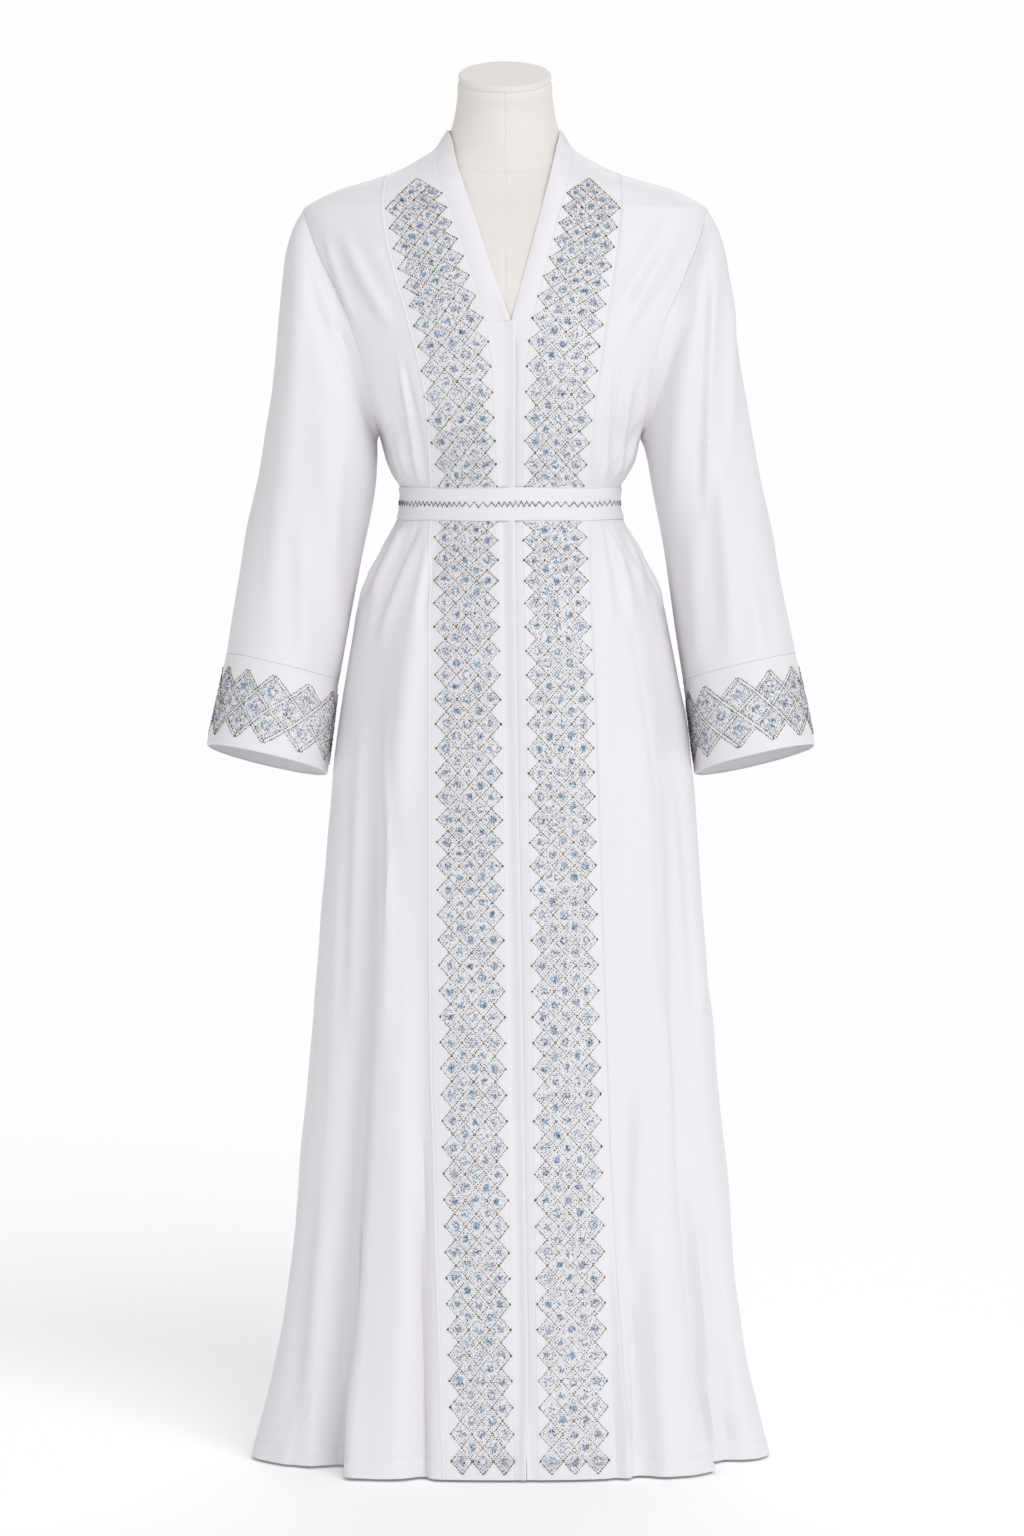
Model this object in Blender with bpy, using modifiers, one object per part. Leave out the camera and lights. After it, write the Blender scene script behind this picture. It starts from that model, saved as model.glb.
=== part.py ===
"""Closed abaya, belted, on a limbless dress form with a round base.

Metres, +Z up, origin at the centre of the base's underside. The wearer faces -Y, so their left is at +X.
The gown is one surface of horizontal rings from hem to neck. A point on it is a ring angle and a height.
Ring angle 0 is centre front, 90 the wearer's left side seam and shoulder seam, 180 centre back, and -90
the right side seam. Each panel is the stretch of that surface between two seams, given a wall thickness
on its inner side.
"""
import math

import bmesh
import bpy
import numpy as np
from mathutils import Vector

COLLECTION = "closed_abaya"

CLOTH = 0.0015
BAND_CLOTH = 0.0020
BELT_CLOTH = 0.0018
BEADING = 0.0010
SEAM_GAP = 0.0003
LAID_GAP = 0.0006

HEM_Z = 0.003
BELT_LOW_Z = 1.0007
BELT_HIGH_Z = 1.0348
UNDERARM_Z = 1.0900
SHOULDER_POINT_Z = 1.3285
V_POINT_Z = 0.5 * (UNDERARM_Z + SHOULDER_POINT_Z)
LONG_SEAM_TOP_Z = 1.3677
NECK_SEAM_TOP_Z = 1.3928
NECKBAND_TOP_Z = 1.4130
SEAM_END = 0.0003
QUARTER = 0.5 * math.pi
CLOSE = 1e-6
NORMAL_STEP = 1e-4
SHARP_ANGLE = math.radians(40)

ARMHOLE_STEPS = 10
BAND_COLUMNS = 1
CENTRE_COLUMNS = 4
SIDE_COLUMNS = 10
BACK_COLUMNS = 20
CUFF_DIAMONDS = 13

FORM_GAP = 0.0010
FORM_SHOULDER_GAP = 0.0024
FORM_HIP_GAP = 0.014
FORM_HIP_Z = 0.985
FORM_BOTTOM_Z = 0.800
FORM_COLUMNS = 28
FORM_TILT = math.radians(20)
CAP_CENTRE = (-0.0075, -0.020, 1.4718)
CAP_RADIUS = 0.0490
CAP_THICKNESS = 0.007
CAP_EDGE = 0.002
POLE_RADIUS = 0.016
BASE_RADIUS = 0.140
BASE_THICKNESS = 0.012
BASE_EDGE = 0.003

# Rings of the gown. half is half the width, front and back are depths from the side seam,
# and the squares are the exponents of the front and back halves: 2 is an ellipse, more is squarer.
BODY = {
    "z":       (0.003, 0.030, 0.052, 0.106, 0.161, 0.269, 0.377, 0.485, 0.593, 0.700, 0.780, 0.828,
                0.880, 0.914, 0.941, 0.968, 0.990, 1.018, 1.035, 1.048, 1.062, 1.090, 1.113, 1.139,
                1.172, 1.209, 1.246, 1.279, 1.306, 1.3285, 1.3390, 1.3496, 1.3602, 1.3707, 1.3810,
                1.3928, 1.4024, 1.4130),
    "half":    (0.2735, 0.2680, 0.2635, 0.2525, 0.2440, 0.2325, 0.2210, 0.2115, 0.2025, 0.1935, 0.1860,
                0.1780, 0.1690, 0.1630, 0.1540, 0.1405, 0.1225, 0.1180, 0.1190, 0.1252, 0.1305, 0.1380,
                0.1530, 0.1660, 0.1775, 0.1895, 0.2020, 0.2115, 0.2160, 0.2150, 0.2005, 0.1780, 0.1454,
                0.1157, 0.0945, 0.0740, 0.0660, 0.0605),
    "front":   (0.188, 0.184, 0.181, 0.175, 0.171, 0.165, 0.160, 0.155, 0.150, 0.144, 0.139, 0.135,
                0.129, 0.123, 0.118, 0.110, 0.102, 0.0985, 0.0990, 0.1020, 0.1060, 0.1140, 0.1185,
                0.1205, 0.1190, 0.1120, 0.1020, 0.0925, 0.0840, 0.0750, 0.0710, 0.0680, 0.0655, 0.0630,
                0.0615, 0.0600, 0.0590, 0.0580),
    "back":    (0.243, 0.238, 0.234, 0.226, 0.219, 0.206, 0.194, 0.183, 0.173, 0.163, 0.156, 0.150,
                0.140, 0.130, 0.120, 0.108, 0.095, 0.0890, 0.0895, 0.0915, 0.0940, 0.0985, 0.1010,
                0.1030, 0.1045, 0.1040, 0.1010, 0.0970, 0.0930, 0.0880, 0.0850, 0.0810, 0.0765, 0.0715,
                0.0665, 0.0610, 0.0585, 0.0570),
    "centre":  (-0.002, -0.002, -0.002, -0.002, -0.001, -0.001, -0.001, 0.000, 0.000, 0.001, 0.001,
                0.000, -0.001, -0.001, -0.0015, -0.0015, -0.002, -0.002, -0.002, -0.002, -0.002, -0.002,
                -0.003, -0.003, -0.004, -0.005, -0.005, -0.006, -0.006, -0.007, -0.007, -0.007, -0.0075,
                -0.0075, -0.008, -0.008, -0.008, -0.008),
    "square":  (2.45, 2.45, 2.45, 2.42, 2.40, 2.35, 2.30, 2.25, 2.22, 2.20, 2.18, 2.16, 2.15, 2.12,
                2.10, 2.10, 2.10, 2.10, 2.10, 2.12, 2.15, 2.20, 2.24, 2.28, 2.30, 2.30, 2.25, 2.20,
                2.12, 2.05, 2.00, 2.00, 2.00, 2.00, 2.00, 2.00, 2.00, 2.00),
    "back_square": (2.05, 2.05, 2.05, 2.05, 2.05, 2.05, 2.05, 2.05, 2.05, 2.05, 2.05, 2.05, 2.05, 2.05,
                    2.05, 2.05, 2.05, 2.05, 2.05, 2.05, 2.05, 2.10, 2.20, 2.30, 2.40, 2.50, 2.55, 2.50,
                    2.35, 2.12, 2.00, 2.00, 2.00, 2.00, 2.00, 2.00, 2.00, 2.00),
}

# Front seams as seen from the front: x in metres at each height, right is the wearer's right.
FRONT_SEAMS = {
    "z":           (0.003, 0.110, 0.295, 0.502, 0.762, 1.018, 1.043, 1.127, 1.161, 1.2093, 1.255, 1.305,
                    1.333, 1.358, 1.3677, 1.3928),
    "right_long":  (-0.0690, -0.0735, -0.0795, -0.0845, -0.0850, -0.0840, -0.0845, -0.0885, -0.0950,
                    -0.1065, -0.1180, -0.1265, -0.1292, -0.1305, -0.1310, -0.1310),
    "right_band":  (0.0028, 0.0006, -0.0030, -0.0065, -0.0098, -0.0150, -0.0160, -0.0200, -0.0215,
                    -0.0290, -0.0410, -0.0580, -0.0672, -0.0765, -0.0785, -0.0815),
    "closing":     (0.0146, 0.0135, 0.0104, 0.0073, 0.0025, 0.0000, 0.0000, -0.0005, -0.0008, -0.0010,
                    -0.0010, -0.0010, -0.0010, -0.0010, -0.0010, -0.0010),
    "left_band":   (0.0272, 0.0255, 0.0230, 0.0205, 0.0160, 0.0110, 0.0108, 0.0125, 0.0150, 0.0215,
                    0.0320, 0.0450, 0.0520, 0.0590, 0.0615, 0.0660),
    "left_long":   (0.1225, 0.1160, 0.1045, 0.0965, 0.0885, 0.0800, 0.0810, 0.0870, 0.0920, 0.0985,
                    0.1060, 0.1125, 0.1145, 0.1155, 0.1160, 0.1160),
}

# Inner edge of the neckband as seen from the front.
NECK_EDGE = {
    "z":     (1.2093, 1.2570, 1.3129, 1.3438, 1.3772, 1.4066, 1.4130),
    "right": (-0.0012, -0.0190, -0.0367, -0.0473, -0.0585, -0.0660, -0.0685),
    "left":  (-0.0008, 0.0120, 0.0270, 0.0350, 0.0435, 0.0505, 0.0525),
}

# Armhole seam: distance from the gown's centre line at each height.
ARMHOLE = {
    "z":    (1.0900, 1.0958, 1.1128, 1.1391, 1.1724, 1.2093, 1.2461, 1.2794, 1.3057, 1.3227, 1.3285),
    "half": (0.1380, 0.1395, 0.1440, 0.1492, 0.1560, 0.1665, 0.1830, 0.1975, 0.2075, 0.2125, 0.2150),
}

# Large skirt folds: ring angle at the hem and at the belt, half width in degrees, height of the ridge at
# the hem (below zero is a valley) and the power by which it fades upwards.
FOLDS = {
    "hem_angle":  (-27, -47, -75, -17.5, 27.5, 38, 59, 79, 99, 115, 132, 149, 166, 183, 200, 217, 234,
                   250, 265),
    "belt_angle": (-42, -56, -80, -34, 38, 47, 62, 80, 99, 114, 131, 148, 165, 182, 199, 216, 233, 249,
                   264),
    "width":      (13, 14, 15, 5.5, 5, 13, 13, 14, 13, 16, 16, 16, 16, 16, 16, 16, 16, 15, 12),
    "ridge":      (0.012, -0.046, 0.012, -0.012, -0.009, 0.013, -0.042, 0.012, -0.016, 0.014, -0.030,
                   0.012, -0.025, 0.012, -0.032, 0.012, -0.026, 0.014, -0.016),
    "fade":       (1.2, 1.5, 1.3, 2.0, 2.0, 1.2, 1.5, 1.3, 1.3, 1.2, 1.3, 1.2, 1.3, 1.2, 1.3, 1.2, 1.3,
                   1.2, 1.3),
}

# Gathers that the belt draws in: ring angle, half width in degrees, height, and 1 where above the belt.
GATHERS = {
    "angle":  (-56, -64, -73, -83, 55, 63, 72, 82, -57, -66, -77, 56, 64, 73, 83, 104, 122, 141, 160,
               180, 200, 219, 238, 256, 106, 126, 148, 170, 190, 212, 234, 254),
    "width":  (6, 6, 6, 6, 6, 6, 6, 6, 6, 6, 6, 6, 6, 6, 6, 9, 9, 9, 9, 9, 9, 9, 9, 9, 9, 10, 10, 10,
               10, 10, 10, 9),
    "height": (0.0022, 0.0028, 0.0026, 0.0020, 0.0024, 0.0028, 0.0024, 0.0018, 0.0022, 0.0026, 0.0020,
               0.0024, 0.0028, 0.0026, 0.0018, 0.0030, 0.0034, 0.0030, 0.0034, 0.0030, 0.0034, 0.0030,
               0.0034, 0.0030, 0.0026, 0.0030, 0.0026, 0.0030, 0.0026, 0.0030, 0.0026, 0.0026),
    "above":  (0,) * 8 + (1,) * 7 + (0,) * 9 + (1,) * 8,
}
GATHER_LENGTH = 0.150
GATHER_PEAK = 0.030

# Sleeve rings below the armhole, for the wearer's left: outermost and innermost points seen from the
# front, depths of the front and the back, and the drop from front to back for each metre of depth.
SLEEVE = {
    "outer_x": (0.2250, 0.2330, 0.2375, 0.2415, 0.2462, 0.2535, 0.2625, 0.2740, 0.2870, 0.3030),
    "outer_z": (1.3100, 1.2850, 1.2540, 1.2200, 1.1750, 1.1150, 1.0500, 0.9800, 0.9120, 0.8570),
    "inner_x": (0.1402, 0.1418, 0.1430, 0.1445, 0.1465, 0.1510, 0.1580, 0.1660, 0.1745, 0.1840),
    "inner_z": (1.0850, 1.0790, 1.0710, 1.0600, 1.0430, 1.0150, 0.9790, 0.9330, 0.8830, 0.8280),
    "front":   (0.0600, 0.0660, 0.0700, 0.0720, 0.0725, 0.0715, 0.0705, 0.0710, 0.0725, 0.0745),
    "back":    (0.0620, 0.0690, 0.0740, 0.0770, 0.0790, 0.0800, 0.0800, 0.0810, 0.0830, 0.0855),
    "drop":    (0.0, 0.0, 0.01, 0.02, 0.03, 0.05, 0.06, 0.08, 0.09, 0.10),
}
CUFF_END = {"outer_x": 0.3235, "outer_z": 0.7580, "inner_x": 0.1985, "inner_z": 0.7285,
            "front": 0.0780, "back": 0.0900, "drop": 0.15}
SLEEVE_SQUARE = 2.15
MITRE_LEAST = 0.75
FOLDED_IN = 0.1
SLEEVE_OUTER_CENTRE = (-0.0070, -0.0010)
SLEEVE_INNER_CENTRE = (-0.0030, -0.0010)

# Front beading: its edge tips seen from the front, at each diamond up from the belt or from the hem.
BODICE_BEADING = {
    "diamond":       (0.0, 4.0, 7.0, 10.0, 14.0),
    "right_inner_x": (-0.0160, -0.0208, -0.0330, -0.0520, -0.0805),
    "right_inner_z": (1.0356, 1.1320, 1.2080, 1.2810, 1.3670),
    "right_outer_x": (-0.0835, -0.0880, -0.1010, -0.1165, -0.1270),
    "right_outer_z": (1.0356, 1.1280, 1.1920, 1.2560, 1.3380),
    "left_inner_x":  (0.0118, 0.0142, 0.0225, 0.0395, 0.0640),
    "left_inner_z":  (1.0356, 1.1320, 1.2080, 1.2810, 1.3690),
    "left_outer_x":  (0.0795, 0.0850, 0.0925, 0.1045, 0.1135),
    "left_outer_z":  (1.0356, 1.1280, 1.1920, 1.2560, 1.3380),
}
SKIRT_BEADING = {
    "diamond":       (0.0, 11.0, 20.0, 29.0, 39.0),
    "right_inner_x": (0.0022, -0.0040, -0.0080, -0.0108, -0.0158),
    "right_inner_z": (0.0095, 0.2950, 0.5250, 0.7540, 0.9999),
    "right_outer_x": (-0.0675, -0.0780, -0.0825, -0.0840, -0.0832),
    "right_outer_z": (0.0095, 0.2950, 0.5250, 0.7540, 0.9999),
    "left_inner_x":  (0.0280, 0.0240, 0.0210, 0.0170, 0.0118),
    "left_inner_z":  (0.0095, 0.2950, 0.5250, 0.7540, 0.9999),
    "left_outer_x":  (0.1030, 0.0985, 0.0935, 0.0875, 0.0788),
    "left_outer_z":  (0.0095, 0.2950, 0.5250, 0.7540, 0.9999),
}
DIAMONDS_ACROSS = 3
BEADING_EDGE = 0.04
CUFF_BEADING_TOP = 0.14
CUFF_BEADING_BOTTOM = 0.84
CUFF_BEADING_TIP = 0.155

# Neck of the dress form: ring heights, half width, and its front and back.
FORM_NECK = {
    "z":     (1.3900, 1.4000, 1.4110, 1.4250),
    "half":  (0.0660, 0.0575, 0.0540, 0.0525),
    "front": (-0.0570, -0.0575, -0.0580, -0.0592),
    "back":  (0.0545, 0.0510, 0.0485, 0.0455),
}
# The form's last rings, tilted under its cap: depth below the cap's underside and radius.
FORM_NECK_TOP = {
    "below":  (0.018, 0.004, 0.0),
    "radius": (0.0503, 0.0495, 0.0480),
}
FORM_ROWS = (FORM_BOTTOM_Z, 0.890, 0.945, 0.972, BELT_LOW_Z, BELT_HIGH_Z, 1.060, 1.089, 1.130, 1.175, 1.220,
             1.265, 1.300, SHOULDER_POINT_Z - 0.001, 1.3420, 1.3515, 1.3600, LONG_SEAM_TOP_Z, 1.3760)


def smooth(table, column, at, key="z"):
    """Monotone cubic curve through a table's column."""
    x = np.array(table[key], float)
    y = np.array(table[column], float)
    secant = np.diff(y) / np.diff(x)
    slope = np.zeros(len(x))
    slope[0], slope[-1] = secant[0], secant[-1]
    product = secant[:-1] * secant[1:]
    total = secant[:-1] + secant[1:]
    slope[1:-1] = np.where(product > 0, 2 * product / np.where(total == 0, 1, total), 0)
    at = np.clip(np.asarray(at, float), x[0], x[-1])
    i = np.clip(np.searchsorted(x, at, side="right") - 1, 0, len(x) - 2)
    step = x[i + 1] - x[i]
    t = (at - x[i]) / step
    low = (1 + 2 * t) * (1 - t) ** 2 * y[i] + t * (1 - t) ** 2 * step * slope[i]
    high = t * t * (3 - 2 * t) * y[i + 1] + t * t * (t - 1) * step * slope[i + 1]
    return low + high


def bump(distance, width):
    """Soft ridge, 1 in the middle and 0 at its half width."""
    return np.where(np.abs(distance) < width, np.cos(0.5 * math.pi * distance / width) ** 2, 0.0)


def turn(degrees, centre):
    """Angle from a ridge's centre, wrapped to within half a turn."""
    return (degrees - centre + 180) % 360 - 180


def fold_offset(angle, z):
    """How far the folds and gathers move the gown outwards."""
    degrees = np.degrees(angle)
    up = np.clip(z / BELT_LOW_Z, 0, 1)
    offset = np.zeros(np.broadcast(angle, z).shape)
    for hem, belt, width, ridge, fade in zip(*FOLDS.values()):
        centre = hem + (belt - hem) * up
        offset = offset + ridge * (1 - up) ** fade * bump(turn(degrees, centre), width)
    for centre, width, height, above in zip(*GATHERS.values()):
        away = (z - BELT_HIGH_Z) if above else (BELT_LOW_Z - z)
        rise = np.clip(away / GATHER_PEAK, 0, 1)
        fall = np.clip((GATHER_LENGTH - away) / (GATHER_LENGTH - GATHER_PEAK), 0, 1)
        along = rise * rise * (3 - 2 * rise) * fall * fall
        offset = offset + height * along * bump(turn(degrees, centre), width)
    return offset


def surface(angle, z):
    """Point of the gown's outer face at a ring angle and a height."""
    angle, z = np.broadcast_arrays(np.asarray(angle, float), np.asarray(z, float))
    sine, cosine = np.sin(angle), np.cos(angle)
    power = 2 / np.where(cosine > 0, smooth(BODY, "square", z), smooth(BODY, "back_square", z))
    x = smooth(BODY, "half", z) * np.sign(sine) * np.abs(sine) ** power
    depth = np.where(cosine > 0, smooth(BODY, "front", z), smooth(BODY, "back", z))
    y = -depth * np.sign(cosine) * np.abs(cosine) ** power
    offset = fold_offset(angle, z)
    length = np.hypot(x, y)
    x = x + offset * x / length
    y = y + offset * y / length
    return np.stack([x + smooth(BODY, "centre", z), y, z], axis=-1)


def unit(vectors):
    return vectors / np.linalg.norm(vectors, axis=-1, keepdims=True)


def outward(angle, z):
    """Unit normal of the gown's outer face."""
    around = surface(angle + NORMAL_STEP, z) - surface(angle - NORMAL_STEP, z)
    upward = surface(angle, z + NORMAL_STEP) - surface(angle, z - NORMAL_STEP)
    return unit(np.cross(around, upward))


def front_angle(x, z):
    """Ring angle of the front point that is seen at x."""
    ratio = (x - smooth(BODY, "centre", z)) / smooth(BODY, "half", z)
    power = smooth(BODY, "square", z) / 2
    return np.sign(ratio) * np.arcsin(np.clip(np.abs(ratio), 0, 1) ** power)


def seam(column):
    return lambda z: front_angle(smooth(FRONT_SEAMS, column, z), z)


def armhole_angle(z):
    ratio = np.clip(smooth(ARMHOLE, "half", z) / smooth(BODY, "half", z), 0, 1)
    return np.arcsin(ratio ** (smooth(BODY, "square", z) / 2))


def armhole_heights():
    middle = 0.5 * (SHOULDER_POINT_Z + UNDERARM_Z)
    reach = 0.5 * (SHOULDER_POINT_Z - UNDERARM_Z)
    return [middle - reach * math.cos(math.pi * i / ARMHOLE_STEPS) for i in range(ARMHOLE_STEPS + 1)]


SKIRT_ROWS = (HEM_Z, 0.050, 0.110, 0.180, 0.260, 0.345, 0.430, 0.515, 0.600, 0.690, 0.775, 0.845, 0.900,
              0.942, 0.972, BELT_LOW_Z, BELT_HIGH_Z, 1.060)
SHOULDER_ROWS = (1.3345, 1.3420, 1.3515, 1.3600, LONG_SEAM_TOP_Z - SEAM_END, LONG_SEAM_TOP_Z + SEAM_END,
                 1.3760, 1.3860, NECK_SEAM_TOP_Z - SEAM_END)
ROWS = np.array(list(SKIRT_ROWS) + armhole_heights() + list(SHOULDER_ROWS))


def rows_between(low, high):
    return ROWS[(ROWS > low - CLOSE) & (ROWS < high + CLOSE)]


def side_edge(z):
    """Front panels' outer edge for the wearer's left: side seam, armhole, then shoulder seam."""
    in_armhole = (z > UNDERARM_Z + CLOSE) & (z < SHOULDER_POINT_Z - CLOSE)
    return np.where(in_armhole, armhole_angle(z), QUARTER)


def shift_edge(points, normals, column, gap):
    """Moves an edge column into its panel, square to the seam."""
    edge = points[:, column]
    along = np.gradient(edge, axis=0)
    across = unit(np.cross(along, normals[:, column]))
    neighbour = points[:, 1] if column == 0 else points[:, -2]
    sign = np.sign(np.sum(across * (neighbour - edge), axis=-1, keepdims=True))
    points[:, column] = edge + across * np.where(sign == 0, 1, sign) * gap


def panel(rows, low_edge, high_edge, columns, thickness=CLOTH):
    """Outer and inner grids of the cloth between two seams."""
    share = np.linspace(0, 1, columns + 1)[None, :]
    low = low_edge(rows)[:, None]
    high = high_edge(rows)[:, None]
    angle = low + (high - low) * share
    z = np.broadcast_to(rows[:, None], angle.shape)
    points = surface(angle, z)
    normals = outward(angle, z)
    shift_edge(points, normals, 0, SEAM_GAP / 2)
    shift_edge(points, normals, -1, SEAM_GAP / 2)
    return {"rows": rows, "angle": angle, "outer": points, "normal": normals,
            "inner": points - thickness * normals}


def mitre_armhole(grid, column, sleeve, upward):
    """Gives a panel's armhole edge the end face that it shares with the sleeve."""
    for i, z in enumerate(grid["rows"]):
        step = int(np.argmin(np.abs(np.array(armhole_heights()) - z)))
        if abs(armhole_heights()[step] - z) > CLOSE:
            continue
        index = sleeve["column_of"][(step, upward)]
        grid["inner"][i, column] = grid["outer"][i, column] - sleeve["mitre"][index]


def wall(outer, inner, closed=False):
    """Closed wall between two grids of points, a tube when closed."""
    mesh = bmesh.new()
    rows, columns = outer.shape[:2]
    faces = [[[mesh.verts.new(p) for p in row] for row in grid] for grid in (outer, inner)]
    top, low = faces
    reach = columns if closed else columns - 1
    for i in range(rows - 1):
        for j in range(reach):
            k = (j + 1) % columns
            mesh.faces.new((top[i][j], top[i][k], top[i + 1][k], top[i + 1][j]))
            mesh.faces.new((low[i][j], low[i + 1][j], low[i + 1][k], low[i][k]))
    for j in range(reach):
        k = (j + 1) % columns
        mesh.faces.new((top[0][j], low[0][j], low[0][k], top[0][k]))
        mesh.faces.new((top[-1][j], top[-1][k], low[-1][k], low[-1][j]))
    if not closed:
        for i in range(rows - 1):
            mesh.faces.new((top[i][0], top[i + 1][0], low[i + 1][0], low[i][0]))
            mesh.faces.new((top[i][-1], low[i][-1], low[i + 1][-1], top[i + 1][-1]))
    bmesh.ops.recalc_face_normals(mesh, faces=mesh.faces)
    return mesh


def loft(rings):
    """Closed solid through rings, flat at both ends."""
    mesh = bmesh.new()
    loops = [[mesh.verts.new(p) for p in ring] for ring in rings]
    count = len(loops[0])
    for low, high in zip(loops, loops[1:]):
        for j in range(count):
            k = (j + 1) % count
            mesh.faces.new((low[j], low[k], high[k], high[j]))
    mesh.faces.new(loops[0])
    mesh.faces.new(loops[-1])
    bmesh.ops.recalc_face_normals(mesh, faces=mesh.faces)
    return mesh


def material(name, colour, roughness, metallic=0.0):
    made = bpy.data.materials.new(name)
    made.use_nodes = True
    shader = made.node_tree.nodes["Principled BSDF"]
    shader.inputs["Base Color"].default_value = (*colour, 1.0)
    shader.inputs["Roughness"].default_value = roughness
    shader.inputs["Metallic"].default_value = metallic
    return made


def add_object(name, mesh, finish, collection):
    """Turns a bmesh into an object of the abaya's collection."""
    data = bpy.data.meshes.new(name)
    bmesh.ops.triangulate(mesh, faces=[f for f in mesh.faces if len(f.verts) == 4], quad_method="FIXED")
    mesh.to_mesh(data)
    mesh.free()
    data.shade_smooth()
    data.set_sharp_from_angle(angle=SHARP_ANGLE)
    data.materials.append(finish)
    made = bpy.data.objects.new(name, data)
    collection.objects.link(made)
    return made


def keep_primitive(name, finish, collection):
    """Names the primitive just added and moves it into the collection."""
    made = bpy.context.active_object
    made.name = name
    made.data.name = name
    made.data.materials.append(finish)
    for holder in list(made.users_collection):
        holder.objects.unlink(made)
    collection.objects.link(made)
    made.data.shade_smooth()
    made.data.set_sharp_from_angle(angle=SHARP_ANGLE)
    return made


def mirror_x(points, side, centre):
    return np.stack([centre + side * points[..., 0], points[..., 1], points[..., 2]], axis=-1)


def sleeve_ring(row, phi, side, down):
    """Ring of a sleeve. phi 0 is its outer edge, 90 its front, 180 its inner, and down is 0 to 1."""
    power = 2 / SLEEVE_SQUARE
    cosine, sine = np.cos(phi), np.sin(phi)
    width = np.sign(cosine) * np.abs(cosine) ** power
    depth = np.where(sine > 0, -row["front"], row["back"]) * np.abs(sine) ** power
    middle = np.array([(row["outer_x"] + row["inner_x"]) / 2, 0, (row["outer_z"] + row["inner_z"]) / 2])
    reach = np.array([(row["outer_x"] - row["inner_x"]) / 2, 0, (row["outer_z"] - row["inner_z"]) / 2])
    points = middle + width[:, None] * reach + depth[:, None] * np.array([0, 1, -row["drop"]])
    outer, inner = (low + (high - low) * down for low, high in (SLEEVE_OUTER_CENTRE, SLEEVE_INNER_CENTRE))
    centre = 0.5 * (outer + inner) + 0.5 * (outer - inner) * width
    return mirror_x(points, side, centre)


def sleeve_row(index):
    return {column: values[index] for column, values in SLEEVE.items()}


def grid_normals(points):
    """Outward normals of a tube whose rings run down its length."""
    around = np.roll(points, -1, axis=1) - np.roll(points, 1, axis=1)
    along = np.gradient(points, axis=0)
    normals = unit(np.cross(around, along))
    middle = points.mean(axis=1, keepdims=True)
    facing = np.sum(normals * (points - middle), axis=-1).sum()
    return normals if facing > 0 else -normals


def sleeve_grid(side):
    """Sleeve from its armhole seam to its cuff seam, with the end face that it shares with the body."""
    heights = armhole_heights()
    steps = [(ARMHOLE_STEPS - i, True) for i in range(ARMHOLE_STEPS + 1)]
    steps += [(i, False) for i in range(1, ARMHOLE_STEPS)]
    z = np.array([heights[i] for i, in_front in steps])
    in_front = np.array([front for i, front in steps])
    edge = armhole_angle(z)
    edge[np.abs(z - SHOULDER_POINT_Z) < CLOSE] = QUARTER
    edge[np.abs(z - UNDERARM_Z) < CLOSE] = QUARTER
    angle = side * np.where(in_front, edge, back_armhole_angle(z, edge))
    head = surface(angle, z)
    count = len(steps)
    phi = 2 * math.pi * np.arange(count) / count
    last = len(SLEEVE["outer_x"]) - 1
    rings = [head]
    for index in range(last + 1):
        rings.append(sleeve_ring(sleeve_row(index), phi, side, index / last))
    points = np.stack(rings)
    normals = grid_normals(points)
    body_normals = outward(angle, z)
    mitre = mitres(body_normals, normals[0])
    points[0] = points[0] + SEAM_GAP / 2 * unit(points[1] - points[0])
    inner = points - CLOTH * normals
    inner[0] = points[0] - mitre["sleeve"]
    column_of = {step: i for i, step in enumerate(steps)}
    column_of[(0, False)] = column_of[(0, True)]
    column_of[(ARMHOLE_STEPS, False)] = column_of[(ARMHOLE_STEPS, True)]
    return {"outer": points, "inner": inner, "phi": phi, "mitre": mitre["body"], "column_of": column_of}


def back_armhole_angle(z, front_edge):
    """The back armhole is seen at the same distance from the centre as the front one."""
    ratio = np.clip(smooth(ARMHOLE, "half", z) / smooth(BODY, "half", z), 0, 1)
    back = math.pi - np.arcsin(ratio ** (smooth(BODY, "back_square", z) / 2))
    return np.where(front_edge > QUARTER - CLOSE, front_edge, back)


def mitres(body_normals, sleeve_normals):
    """Wall vectors at the armhole: shared where the seam stands out, their own where it folds in."""
    middle = unit(body_normals + sleeve_normals)
    cosine = np.sum(middle * sleeve_normals, axis=-1, keepdims=True)
    shared = CLOTH * middle / np.maximum(cosine, MITRE_LEAST)
    folds_in = np.sum(body_normals * sleeve_normals, axis=-1, keepdims=True) < FOLDED_IN
    return {"body": np.where(folds_in, CLOTH * body_normals, shared),
            "sleeve": np.where(folds_in, CLOTH * sleeve_normals, shared)}


def on_grid(grid, share, z):
    """Point and normal of a panel's facets at a share of its width and a height."""
    rows = grid["rows"]
    i = int(np.clip(np.searchsorted(rows, z, side="right") - 1, 0, len(rows) - 2))
    t = (z - rows[i]) / (rows[i + 1] - rows[i])
    columns = grid["outer"].shape[1] - 1
    j = int(np.clip(math.floor(share * columns), 0, columns - 1))
    s = share * columns - j
    found = []
    for name in ("outer", "normal"):
        low = grid[name][i, j] * (1 - s) + grid[name][i, j + 1] * s
        high = grid[name][i + 1, j] * (1 - s) + grid[name][i + 1, j + 1] * s
        found.append(low * (1 - t) + high * t)
    return found[0], unit(found[1])


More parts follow.
